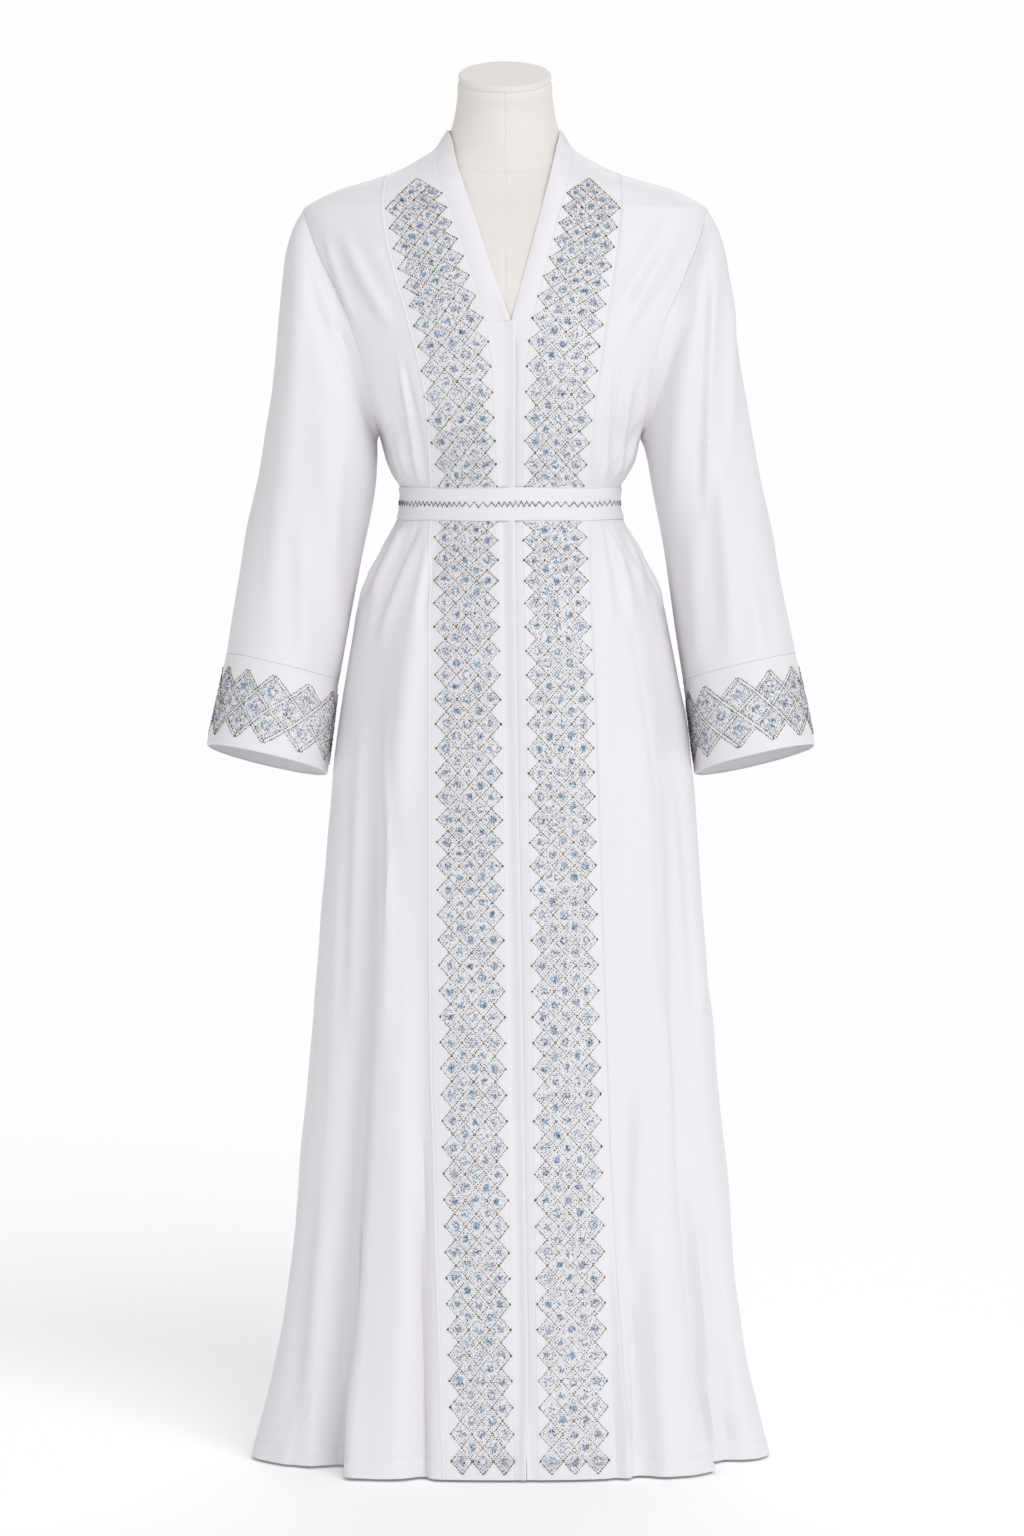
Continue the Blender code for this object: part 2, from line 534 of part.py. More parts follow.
def front_beading(grid, table, side, low_edge, high_edge):
    """Strip with stepped edges, laid on a centre front panel."""
    halves = int(round(2 * table["diamond"][-1]))
    outer, inner = [], []
    for half in range(halves + 1):
        along = half / 2
        is_tip = half % 2 == 1
        inset = 0 if is_tip else 0.5 / DIAMONDS_ACROSS
        ends = []
        for across in (inset, 1 - inset):
            x, z = (
                float(smooth(table, side + "_inner_" + axis, along, "diamond")) * (1 - across)
                + float(smooth(table, side + "_outer_" + axis, along, "diamond")) * across
                for axis in ("x", "z"))
            low, high = float(low_edge(z)), float(high_edge(z))
            ends.append(((float(front_angle(x, z)) - low) / (high - low), z))
        (start, start_z), (end, end_z) = ends
        row_outer, row_inner = [], []
        for column in range(CENTRE_COLUMNS + 1):
            share = min(max(column / CENTRE_COLUMNS, start + BEADING_EDGE), end - BEADING_EDGE)
            if column == 0:
                share = max(start, 0.0)
            if column == CENTRE_COLUMNS:
                share = min(end, 1.0)
            z = start_z + (end_z - start_z) * (share - start) / (end - start)
            point, normal = on_grid(grid, share, z)
            row_inner.append(point + normal * LAID_GAP)
            row_outer.append(point + normal * (LAID_GAP + BEADING))
        outer.append(row_outer)
        inner.append(row_inner)
    return np.array(outer), np.array(inner)


def cuff_grid(side):
    """Cuff, straight from its seam to its end, with a column for each tip and valley of its beading."""
    count = 2 * CUFF_DIAMONDS
    phi = 2 * math.pi * np.arange(count) / count
    top = sleeve_ring(sleeve_row(-1), phi, side, 1.0)
    end = sleeve_ring(CUFF_END, phi, side, 1.0)
    top = top + SEAM_GAP * unit(end - top)
    points = np.stack([top, end])
    normals = grid_normals(points)
    return {"outer": points, "inner": points - BAND_CLOTH * normals, "normal": normals}


def cuff_beading(grid):
    """Ring with stepped edges, laid on a cuff."""
    top, end = grid["outer"]
    normals = grid["normal"][0]
    tips = (np.arange(len(top)) % 2 == 0)[:, None]
    high = CUFF_BEADING_TOP + np.where(tips, 0, CUFF_BEADING_TIP)
    low = CUFF_BEADING_BOTTOM - np.where(tips, 0, CUFF_BEADING_TIP)
    rings = np.stack([top + (end - top) * high, top + (end - top) * low])
    return rings + normals * (LAID_GAP + BEADING), rings + normals * LAID_GAP


def neckband_grid(back):
    """Band from the V point up round the back neck and down to the V point again."""
    front_z = np.append(rows_between(V_POINT_Z, NECK_SEAM_TOP_Z), NECK_SEAM_TOP_Z)
    share = (front_z - V_POINT_Z) / (NECK_SEAM_TOP_Z - V_POINT_Z)
    edge_z = V_POINT_Z + share * (NECKBAND_TOP_Z - V_POINT_Z)
    right_seam, left_seam = seam("right_band")(front_z), seam("left_band")(front_z)
    right_edge = front_angle(smooth(NECK_EDGE, "right", edge_z), edge_z)
    left_edge = front_angle(smooth(NECK_EDGE, "left", edge_z), edge_z)
    right_seam[-1], right_edge[-1] = -QUARTER, -QUARTER
    left_seam[-1], left_edge[-1] = QUARTER, QUARTER
    back_angles = back["angle"][-1][1:-1]
    back_seam_z = np.full(len(back_angles), NECK_SEAM_TOP_Z - SEAM_END)
    back_edge_z = np.full(len(back_angles), NECKBAND_TOP_Z)
    seam_angle = np.concatenate([left_seam, back_angles, right_seam[::-1] + 2 * math.pi])
    edge_angle = np.concatenate([left_edge, back_angles, right_edge[::-1] + 2 * math.pi])
    seam_z = np.concatenate([front_z, back_seam_z, front_z[::-1]])
    top_z = np.concatenate([edge_z, back_edge_z, edge_z[::-1]])
    across = np.array([0.0, 0.5, 1.0])[None, :]
    angle = seam_angle[:, None] * (1 - across) + edge_angle[:, None] * across
    z = seam_z[:, None] * (1 - across) + top_z[:, None] * across
    points = surface(angle, z)
    normals = outward(angle, z)
    shift_edge(points, normals, 0, SEAM_GAP / 2)
    shift_edge(points, normals, -1, SEAM_GAP / 2)
    points[0] += (0, 0, SEAM_GAP)
    points[-1] += (0, 0, SEAM_GAP)
    return points, points - BAND_CLOTH * normals


def belt_grid(panels):
    """Belt laid round the gown, with a column over each of the gown's columns."""
    outer, inner = [], []
    for z in (BELT_LOW_Z, BELT_HIGH_Z):
        angles = []
        for low_edge, high_edge, columns in panels:
            low, high = float(low_edge(z)), float(high_edge(z))
            angles += [low + (high - low) * j / columns for j in range(columns)]
        angle = np.array(angles)
        points, normals = surface(angle, z), outward(angle, z)
        inner.append(points + normals * LAID_GAP)
        outer.append(points + normals * (LAID_GAP + BELT_CLOTH))
    return np.array(outer), np.array(inner)


def torso_rings():
    """Rings of the form: inside the gown up to the shoulders, then the neck with its tilted top."""
    angle = 2 * math.pi * np.arange(FORM_COLUMNS) / FORM_COLUMNS
    rings = []
    inset = CLOTH + FORM_GAP
    for z in FORM_ROWS:
        if UNDERARM_Z - CLOSE < z < SHOULDER_POINT_Z + CLOSE:
            rings.append(form_arm_ring(angle, z, inset))
        elif z > SHOULDER_POINT_Z:
            rings.append(surface(angle, z) - (CLOTH + FORM_SHOULDER_GAP) * outward(angle, z))
        else:
            rings.append(form_body_ring(angle, z, inset))
    for index, z in enumerate(FORM_NECK["z"]):
        rings.append(neck_ring(angle, z, *(FORM_NECK[c][index] for c in ("half", "front", "back"))))
    normal = np.array([0, -math.sin(FORM_TILT), math.cos(FORM_TILT)])
    forward = np.array([0, -math.cos(FORM_TILT), -math.sin(FORM_TILT)])
    top = np.array(CAP_CENTRE) - (CAP_THICKNESS + SEAM_GAP) * normal
    for below, radius in zip(*FORM_NECK_TOP.values()):
        across = np.sin(angle)[:, None] * np.array([1, 0, 0]) + np.cos(angle)[:, None] * forward
        rings.append(top - below * normal + radius * across)
    return rings


def form_body_ring(angle, z, inset):
    """Ring of the form below the underarm, free of the gown's folds and gathers and slimmer at the hips."""
    inset = inset + FORM_HIP_GAP * min(max((FORM_HIP_Z - z) / (FORM_HIP_Z - FORM_BOTTOM_Z), 0), 1) ** 0.5
    x = (float(smooth(BODY, "half", z)) - inset) * np.sin(angle)
    front = float(smooth(BODY, "front", z)) - inset
    back = float(smooth(BODY, "back", z)) - inset
    y = -np.where(np.cos(angle) > 0, front, back) * np.cos(angle)
    return np.stack([x + float(smooth(BODY, "centre", z)), y, np.full(len(angle), z)], axis=-1)


def form_arm_ring(angle, z, inset):
    """Ring of the form beside the armholes, where it ends in a smooth side plate."""
    half = float(smooth(ARMHOLE, "half", z)) - 2 * inset
    front = float(smooth(BODY, "front", z)) - inset
    back = float(smooth(BODY, "back", z)) - inset
    x = half * np.sin(angle)
    y = -np.where(np.cos(angle) > 0, front, back) * np.cos(angle)
    return np.stack([x + float(smooth(BODY, "centre", z)), y, np.full(len(angle), z)], axis=-1)


def neck_ring(angle, z, half, front, back):
    middle, depth = 0.5 * (front + back), 0.5 * (back - front)
    return np.stack([CAP_CENTRE[0] + half * np.sin(angle), middle - depth * np.cos(angle),
                     np.full(len(angle), z)], axis=-1)


def build_gown(finishes, collection):
    """Cuts the gown into its panels, with the sleeves, cuffs, neckband, belt and beading."""
    cloth, beads = finishes["cloth"], finishes["beading"]
    sleeves = {side: sleeve_grid(sign) for side, sign in (("left", 1), ("right", -1))}
    below_v = rows_between(HEM_Z, V_POINT_Z)
    to_neck = rows_between(HEM_Z, NECK_SEAM_TOP_Z)
    to_long_top = rows_between(HEM_Z, LONG_SEAM_TOP_Z)
    closing = seam("closing")

    def centre_outer(side, sign):
        return lambda z: np.where(z > LONG_SEAM_TOP_Z, sign * QUARTER, seam(side + "_long")(z))

    centre_panels = {}
    belt_panels = {}
    for side, sign in (("left", 1), ("right", -1)):
        band = seam(side + "_band")
        grid = panel(below_v, closing, band, BAND_COLUMNS, BAND_CLOTH)
        add_object("front_band_" + side, wall(grid["outer"], grid["inner"]), cloth, collection)
        grid = panel(to_neck, band, centre_outer(side, sign), CENTRE_COLUMNS)
        add_object("centre_front_" + side, wall(grid["outer"], grid["inner"]), cloth, collection)
        centre_panels[side] = grid
        outer_edge = lambda z, sign=sign: sign * side_edge(z)
        grid = panel(to_long_top, centre_outer(side, sign), outer_edge, SIDE_COLUMNS)
        mitre_armhole(grid, -1, sleeves[side], True)
        add_object("side_front_" + side, wall(grid["outer"], grid["inner"]), cloth, collection)
        belt_panels[side] = [(closing, band, BAND_COLUMNS), (band, seam(side + "_long"), CENTRE_COLUMNS),
                             (seam(side + "_long"), outer_edge, SIDE_COLUMNS)]

    def back_low(z):
        front = side_edge(z)
        return np.where(front > QUARTER - CLOSE, QUARTER, back_armhole_angle(z, front))

    def back_high(z):
        return 2 * math.pi - back_low(z)

    back = panel(to_neck, back_low, back_high, BACK_COLUMNS)
    mitre_armhole(back, 0, sleeves["left"], False)
    mitre_armhole(back, -1, sleeves["right"], False)
    add_object("back", wall(back["outer"], back["inner"]), cloth, collection)
    add_object("neckband", wall(*neckband_grid(back)), cloth, collection)

    right = [(lambda z, f=high: f(z) + 2 * math.pi, lambda z, f=low: f(z) + 2 * math.pi, n)
             for low, high, n in reversed(belt_panels["right"])]
    around = belt_panels["left"] + [(back_low, back_high, BACK_COLUMNS)] + right
    add_object("belt", wall(*belt_grid(around), closed=True), cloth, collection)

    for side, sign in (("left", 1), ("right", -1)):
        sleeve = sleeves[side]
        add_object("sleeve_" + side, wall(sleeve["outer"], sleeve["inner"], closed=True), cloth, collection)
        cuff = cuff_grid(sign)
        add_object("cuff_" + side, wall(cuff["outer"], cuff["inner"], closed=True), cloth, collection)
        add_object("beading_cuff_" + side, wall(*cuff_beading(cuff), closed=True), beads, collection)
        band = seam(side + "_band")
        outer = centre_outer(side, sign)
        for name, table in (("bodice", BODICE_BEADING), ("skirt", SKIRT_BEADING)):
            strip = front_beading(centre_panels[side], table, side, band, outer)
            add_object("beading_" + name + "_" + side, wall(*strip), beads, collection)


def build_form(finishes, collection):
    """Dress form: torso with its neck, neck cap, pole and round base."""
    add_object("form_torso", loft(torso_rings()), finishes["form"], collection)
    normal = Vector((0, -math.sin(FORM_TILT), math.cos(FORM_TILT)))
    bpy.ops.mesh.primitive_cylinder_add(vertices=FORM_COLUMNS, radius=CAP_RADIUS, depth=CAP_THICKNESS)
    cap = keep_primitive("form_neck_cap", finishes["form"], collection)
    cap.location = Vector(CAP_CENTRE) - 0.5 * CAP_THICKNESS * normal
    cap.rotation_euler = (FORM_TILT, 0, 0)
    round_edge(cap, CAP_EDGE)
    length = FORM_BOTTOM_Z - BASE_THICKNESS - 2 * SEAM_GAP
    bpy.ops.mesh.primitive_cylinder_add(vertices=16, radius=POLE_RADIUS, depth=length)
    pole = keep_primitive("form_pole", finishes["metal"], collection)
    pole.location = (0, 0, BASE_THICKNESS + SEAM_GAP + 0.5 * length)
    bpy.ops.mesh.primitive_cylinder_add(vertices=36, radius=BASE_RADIUS, depth=BASE_THICKNESS)
    base = keep_primitive("form_base", finishes["metal"], collection)
    base.location = (0, 0, 0.5 * BASE_THICKNESS)
    round_edge(base, BASE_EDGE)


def round_edge(made, width):
    bevel = made.modifiers.new("edge", "BEVEL")
    bevel.width = width
    bevel.segments = 1
    bevel.angle_limit = SHARP_ANGLE


def main():
    for old in list(bpy.data.objects):
        bpy.data.objects.remove(old, do_unlink=True)
    collection = bpy.data.collections.new(COLLECTION)
    bpy.context.scene.collection.children.link(collection)
    finishes = {
        "cloth": material("white_crepe", (0.88, 0.87, 0.90), 0.55),
        "beading": material("bead_lattice", (0.55, 0.58, 0.64), 0.35),
        "form": material("form_cover", (0.84, 0.82, 0.79), 0.80),
        "metal": material("stand_steel", (0.60, 0.60, 0.61), 0.35, 1.0),
    }
    build_form(finishes, collection)
    build_gown(finishes, collection)


main()
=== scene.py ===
"""Looks of the closed abaya and its dress form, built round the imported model.

Metres, +Z up. The wearer faces -Y, so their left is at +X, and the floor is at Z 0.
The gown is the surface of the model's own rings, finer, with its creases added. A point on it is a ring
angle and a height: 0 is centre front, 90 the wearer's left side and shoulder seams, 180 centre back.
"""
import math

import bpy
import numpy as np
from bpy.props import FloatProperty, FloatVectorProperty, PointerProperty
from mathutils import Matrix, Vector


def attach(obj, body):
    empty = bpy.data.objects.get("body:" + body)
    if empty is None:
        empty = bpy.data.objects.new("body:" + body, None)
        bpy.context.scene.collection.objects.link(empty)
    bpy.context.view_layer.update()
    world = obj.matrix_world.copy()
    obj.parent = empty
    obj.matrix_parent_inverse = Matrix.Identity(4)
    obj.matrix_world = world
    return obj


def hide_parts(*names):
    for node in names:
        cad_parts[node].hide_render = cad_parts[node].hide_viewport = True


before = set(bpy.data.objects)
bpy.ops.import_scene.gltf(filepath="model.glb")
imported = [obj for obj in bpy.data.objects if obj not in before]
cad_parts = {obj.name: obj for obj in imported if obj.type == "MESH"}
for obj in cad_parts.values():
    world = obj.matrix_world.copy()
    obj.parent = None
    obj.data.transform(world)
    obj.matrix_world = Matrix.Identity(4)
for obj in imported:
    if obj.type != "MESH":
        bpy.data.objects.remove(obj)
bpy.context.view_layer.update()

bl_info = {
    "name": "Closed abaya on a dress form",
    "version": (1, 0, 0),
    "blender": (4, 5, 0),
    "location": "3D View > Sidebar > Abaya",
    "description": "Builds a beaded white abaya, its dress form and a plain studio",
    "category": "Add Mesh",
}

QUARTER = 0.5 * math.pi
SIDES = (("left", 1), ("right", -1))
# Steps over which normals are measured, on the plain gown and on the creased one.
NORMAL_STEP = 1e-4
CREASED_STEP = 0.0006
# Heights and angles closer than this are the same.
CLOSE = 1e-6

# Heights of the gown's edges and seams.
HEM_Z = 0.003
BELT_LOW_Z = 1.0007
BELT_HIGH_Z = 1.0348
UNDERARM_Z = 1.0900
SHOULDER_POINT_Z = 1.3285
V_POINT_Z = 0.5 * (UNDERARM_Z + SHOULDER_POINT_Z)
LONG_SEAM_TOP_Z = 1.3677
NECK_SEAM_TOP_Z = 1.3928
NECKBAND_TOP_Z = 1.4130

# Thickness of the solids' cloth, the form's distances from it, and the form's lower end, neck and cap.
CLOTH = 0.0015
FORM_GAP = 0.0010
FORM_SHOULDER_GAP = 0.0024
FORM_HIP_GAP = 0.014
FORM_HIP_Z = 0.985
FORM_BOTTOM_Z = 0.800
FORM_TILT = math.radians(20)
CAP_CENTRE = (-0.0075, -0.020, 1.4718)
CAP_THICKNESS = 0.007
CAP_DOME = 0.0007
# Rings of the cap from its underside to its top: depth below the rim and radius.
CAP_RINGS = ((0.0070, 0.0480), (0.0064, 0.0488), (0.0052, 0.0490), (0.0026, 0.0490), (0.0014, 0.0486),
             (0.0006, 0.0478), (0.0001, 0.0464), (-0.0001, 0.0440), (-0.0004, 0.0330), (-0.0006, 0.0180),
             (-CAP_DOME, 0.0050))

# Rings of the gown. half is half the width, front and back are depths from the side seam,
# and the squares are the exponents of the front and back halves: 2 is an ellipse, more is squarer.
BODY = {
    "z":       (0.003, 0.030, 0.052, 0.106, 0.161, 0.269, 0.377, 0.485, 0.593, 0.700, 0.780, 0.828,
                0.880, 0.914, 0.941, 0.968, 0.990, 1.018, 1.035, 1.048, 1.062, 1.090, 1.113, 1.139,
                1.172, 1.209, 1.246, 1.279, 1.306, 1.3285, 1.3390, 1.3496, 1.3602, 1.3707, 1.3810,
                1.3928, 1.4024, 1.4130),
    "half":    (0.2693, 0.2633, 0.2578, 0.2453, 0.2363, 0.2248, 0.2143, 0.2078, 0.2013, 0.1931, 0.1860,
                0.1775, 0.1675, 0.1608, 0.1505, 0.1343, 0.1247, 0.1153, 0.1175, 0.1238, 0.1299, 0.1380,
                0.1530, 0.1660, 0.1775, 0.1895, 0.2020, 0.2115, 0.2160, 0.2150, 0.2005, 0.1780, 0.1425,
                0.1118, 0.0925, 0.0740, 0.0660, 0.0605),
    "front":   (0.188, 0.184, 0.181, 0.175, 0.171, 0.165, 0.160, 0.155, 0.150, 0.144, 0.139, 0.135,
                0.129, 0.123, 0.118, 0.110, 0.102, 0.0985, 0.0990, 0.1020, 0.1060, 0.1140, 0.1185,
                0.1205, 0.1190, 0.1120, 0.1020, 0.0925, 0.0840, 0.0750, 0.0710, 0.0680, 0.0655, 0.0630,
                0.0615, 0.0600, 0.0590, 0.0580),
    "back":    (0.243, 0.238, 0.234, 0.226, 0.219, 0.206, 0.194, 0.183, 0.173, 0.163, 0.156, 0.150,
                0.140, 0.130, 0.120, 0.108, 0.095, 0.0890, 0.0895, 0.0915, 0.0940, 0.0985, 0.1010,
                0.1030, 0.1045, 0.1040, 0.1010, 0.0970, 0.0930, 0.0880, 0.0850, 0.0810, 0.0765, 0.0715,
                0.0665, 0.0610, 0.0585, 0.0570),
    "centre":  (-0.002, -0.002, -0.002, -0.002, -0.001, -0.001, -0.001, 0.000, 0.000, 0.001, 0.001,
                0.000, -0.001, -0.001, -0.0015, -0.0015, -0.002, -0.002, -0.002, -0.002, -0.002, -0.002,
                -0.003, -0.003, -0.004, -0.005, -0.005, -0.006, -0.006, -0.007, -0.007, -0.007, -0.0075,
                -0.0075, -0.008, -0.008, -0.008, -0.008),
    "square":  (2.45,) * 3 + (2.42, 2.40, 2.35, 2.30, 2.25, 2.22, 2.20, 2.18, 2.16, 2.15, 2.12)
               + (2.10,) * 5 + (2.12, 2.15, 2.20, 2.24, 2.28, 2.30, 2.30, 2.25, 2.20, 2.12, 2.05)
               + (2.00,) * 8,
    "back_square": (2.05,) * 21 + (2.10, 2.20, 2.30, 2.40, 2.50, 2.55, 2.50, 2.35, 2.12) + (2.00,) * 8,
}

# Front seams as seen from the front: x in metres at each height, right is the wearer's right.
FRONT_SEAMS = {
    "z":           (0.003, 0.110, 0.295, 0.502, 0.762, 1.018, 1.043, 1.127, 1.161, 1.2093, 1.255, 1.305,
                    1.333, 1.358, 1.3677, 1.3928),
    "right_long":  (-0.0690, -0.0735, -0.0795, -0.0845, -0.0850, -0.0840, -0.0845, -0.0885, -0.0950,
                    -0.1070, -0.1200, -0.1312, -0.1340, -0.1322, -0.1270, -0.1270),
    "right_band":  (0.0028, 0.0006, -0.0030, -0.0065, -0.0098, -0.0150, -0.0160, -0.0200, -0.0215,
                    -0.0290, -0.0410, -0.0580, -0.0672, -0.0765, -0.0785, -0.0815),
    "closing":     (0.0146, 0.0135, 0.0104, 0.0073, 0.0025, 0.0000, 0.0000, -0.0005, -0.0008)
                   + (-0.0010,) * 7,
    "left_band":   (0.0272, 0.0255, 0.0230, 0.0205, 0.0160, 0.0110, 0.0108, 0.0125, 0.0150, 0.0215,
                    0.0320, 0.0450, 0.0520, 0.0590, 0.0615, 0.0660),
    "left_long":   (0.1225, 0.1160, 0.1045, 0.0965, 0.0885, 0.0800, 0.0810, 0.0870, 0.0920, 0.0985,
                    0.1060, 0.1125, 0.1145, 0.1142, 0.1120, 0.1120),
}

# Inner edge of the neckband as seen from the front.
NECK_EDGE = {
    "z":     (1.2093, 1.2570, 1.3129, 1.3438, 1.3772, 1.4066, 1.4130),
    "right": (-0.0012, -0.0190, -0.0367, -0.0473, -0.0585, -0.0660, -0.0685),
    "left":  (-0.0008, 0.0120, 0.0270, 0.0350, 0.0435, 0.0505, 0.0525),
}

# Armhole seam: distance from the gown's centre line at each height.
ARMHOLE = {
    "z":    (1.0900, 1.0958, 1.1128, 1.1391, 1.1724, 1.2093, 1.2461, 1.2794, 1.3057, 1.3227, 1.3285),
    "half": (0.1380, 0.1395, 0.1440, 0.1492, 0.1560, 0.1665, 0.1830, 0.1975, 0.2075, 0.2125, 0.2150),
}

# Large skirt folds: ring angle at the hem and at the belt, half width in degrees, height of the ridge at
# the hem (below zero is a valley) and the power by which it fades upwards.
FOLDS = {
    "hem_angle":  (-27, -47, -75, -17.5, 27.5, 38, 59, 79, 99, 115, 132, 149, 166, 183, 200, 217, 234,
                   250, 265),
    "belt_angle": (-42, -56, -80, -34, 38, 47, 62, 80, 99, 114, 131, 148, 165, 182, 199, 216, 233, 249,
                   264),
    "width":      (13, 14, 15, 5.5, 5, 13, 13, 14, 13) + (16,) * 8 + (15, 12),
    "ridge":      (0.012, -0.046, 0.012, -0.012, -0.009, 0.013, -0.042, 0.012, -0.016, 0.014, -0.030,
                   0.012, -0.025, 0.012, -0.032, 0.012, -0.026, 0.014, -0.016),
    "fade":       (1.2, 1.5, 1.3, 2.0, 2.0, 1.2, 1.5, 1.3, 1.3) + (1.2, 1.3) * 5,
}

# Gathers that the belt draws in: ring angle, half width in degrees, height, and 1 where above the belt.
# Below them, their length and how far from the belt they are highest.
GATHERS = {
    "angle":  (-56, -64, -73, -83, 55, 63, 72, 82, -57, -66, -77, 56, 64, 73, 83, 104, 122, 141, 160,
               180, 200, 219, 238, 256, 106, 126, 148, 170, 190, 212, 234, 254),
    "width":  (6,) * 15 + (9,) * 10 + (10,) * 6 + (9,),
    "height": (0.0022, 0.0028, 0.0026, 0.0020, 0.0024, 0.0028, 0.0024, 0.0018, 0.0022, 0.0026, 0.0020,
               0.0024, 0.0028, 0.0026, 0.0018) + (0.0030, 0.0034) * 4 + (0.0030, 0.0026) * 4 + (0.0026,),
    "above":  (0,) * 8 + (1,) * 7 + (0,) * 9 + (1,) * 8,
}
GATHER_LENGTH = 0.150
GATHER_PEAK = 0.030

# Sleeve rings below the armhole, for the wearer's left: outermost and innermost points seen from the
# front, depths of the front and the back, and the drop from front to back for each metre of depth.
SLEEVE = {
    "outer_x": (0.2250, 0.2330, 0.2375, 0.2415, 0.2462, 0.2535, 0.2635, 0.2795, 0.2932, 0.3036),
    "outer_z": (1.3100, 1.2850, 1.2540, 1.2200, 1.1750, 1.1150, 1.0500, 0.9800, 0.9120, 0.8570),
    "inner_x": (0.1402, 0.1418, 0.1430, 0.1445, 0.1465, 0.1510, 0.1580, 0.1660, 0.1745, 0.1840),
    "inner_z": (1.0850, 1.0790, 1.0710, 1.0600, 1.0430, 1.0150, 0.9790, 0.9330, 0.8830, 0.8280),
    "front":   (0.0600, 0.0660, 0.0700, 0.0720, 0.0725, 0.0715, 0.0705, 0.0710, 0.0725, 0.0745),
    "back":    (0.0620, 0.0690, 0.0740, 0.0770, 0.0790, 0.0800, 0.0800, 0.0810, 0.0830, 0.0855),
    "drop":    (0.0, 0.0, 0.01, 0.02, 0.03, 0.05, 0.06, 0.08, 0.09, 0.10),
}
CUFF_END = {"outer_x": 0.3255, "outer_z": 0.7586, "inner_x": 0.1962, "inner_z": 0.7290,
            "front": 0.0780, "back": 0.0900, "drop": 0.15}
# How square the sleeves' rings are, then the x that both sleeves are mirrored about, for their outer and
# inner edges: at the armhole and at the cuff, with its bow between them.
SLEEVE_SQUARE = 2.15
SLEEVE_OUTER_CENTRE = (-0.0070, -0.0010)
SLEEVE_INNER_CENTRE = (-0.0030, -0.0010)
SLEEVE_LEAN = (-0.0012, 0.0035)

# Front beading: its edge tips seen from the front, at each diamond up from the belt or from the hem.
BODICE_BEADING = {
    "diamond":       (-0.5, 0.5, 3.5, 6.5, 8.5, 10.5, 13.5, 15.5),
    "right_inner_x": (-0.0152, -0.0157, -0.0190, -0.0245, -0.0381, -0.0512, -0.0684, -0.0782),
    "right_inner_z": (1.0140, 1.0365, 1.1085, 1.1874, 1.2355, 1.2769, 1.3281, 1.3574),
    "right_outer_x": (-0.0745, -0.0772, -0.0883, -0.0981, -0.1073, -0.1193, -0.1326, -0.1420),
    "right_outer_z": (1.0140, 1.0368, 1.1054, 1.1819, 1.2247, 1.2641, 1.3270, 1.3640),
    "left_inner_x":  (0.0129, 0.0131, 0.0138, 0.0171, 0.0271, 0.0392, 0.0534, 0.0609),
    "left_inner_z":  (1.0140, 1.0360, 1.1090, 1.1880, 1.2349, 1.2758, 1.3286, 1.3579),
    "left_outer_x":  (0.0735, 0.0756, 0.0833, 0.0915, 0.0977, 0.1038, 0.1134, 0.1200),
    "left_outer_z":  (1.0140, 1.0368, 1.1054, 1.1822, 1.2263, 1.2659, 1.3280, 1.3640),
}
SKIRT_INNER_Z = (0.0084, 0.0775, 0.2386, 0.4845, 0.6419, 0.7137, 0.8656, 0.9383, 0.9997, 1.0190)
SKIRT_BEADING = {
    "diamond":       (0.0, 2.5, 8.5, 17.5, 23.5, 26.5, 32.5, 35.5, 38.5, 39.5),
    "right_inner_x": (0.0034, 0.0008, -0.0029, -0.0073, -0.0095, -0.0103, -0.0130, -0.0146, -0.0150,
                      -0.0152),
    "right_inner_z": SKIRT_INNER_Z,
    "right_outer_x": (-0.0628, -0.0646, -0.0696, -0.0752, -0.0780, -0.0788, -0.0810, -0.0817, -0.0812,
                      -0.0806),
    "right_outer_z": (0.0084, 0.0775, 0.2386, 0.4845, 0.6419, 0.7137, 0.8656, 0.9383, 1.0048, 1.0260),
    "left_inner_x":  (0.0298, 0.0282, 0.0249, 0.0216, 0.0191, 0.0178, 0.0147, 0.0131, 0.0115, 0.0112),
    "left_inner_z":  SKIRT_INNER_Z,
    "left_outer_x":  (0.1018, 0.1004, 0.0967, 0.0910, 0.0877, 0.0865, 0.0831, 0.0798, 0.0773, 0.0768),
    "left_outer_z":  (0.0084, 0.0768, 0.2386, 0.4845, 0.6419, 0.7137, 0.8656, 0.9383, 1.0048, 1.0260),
}
# Diamonds across a front, the bodice's last row in half diamonds, and the slant that its top is cut along.
DIAMONDS_ACROSS = 3
TOP_DIAMOND_ROW = 30
TOP_SLANT = 32

# Cuff beading: its tips' phi in degrees at each diamond round the cuff, how far the upper tips are turned
# from the lower ones, and the shares of the cuff's depth where it starts and ends.
CUFF_TIPS = {
    "diamond": tuple(range(12)),
    "right":   (0, 31.5, 61, 88, 122, 157.5, 190, 223, 257, 291, 325.5, 360),
    "left":    (9.5, 39.8, 70.5, 101, 135.7, 168, 201, 234.5, 268, 301.5, 335.5, 369.5),
}
CUFF_TURNED = {"right": 0.0, "left": 4.7}
CUFF_BEADING_TOP = 0.150
CUFF_BEADING_BOTTOM = 0.882

# Neck of the dress form: ring heights, half width, and its front and back.
FORM_NECK = {
    "z":     (1.3900, 1.4000, 1.4110),
    "half":  (0.0705, 0.0630, 0.0580),
    "front": (-0.0570, -0.0575, -0.0580),
    "back":  (0.0578, 0.0553, 0.0530),
}
# The form's last rings, tilted under its cap: depth below the cap's underside and radius.
FORM_NECK_TOP = {
    "below":  (0.018, 0.004, 0.0),
    "radius": (0.0503, 0.0495, 0.0480),
}
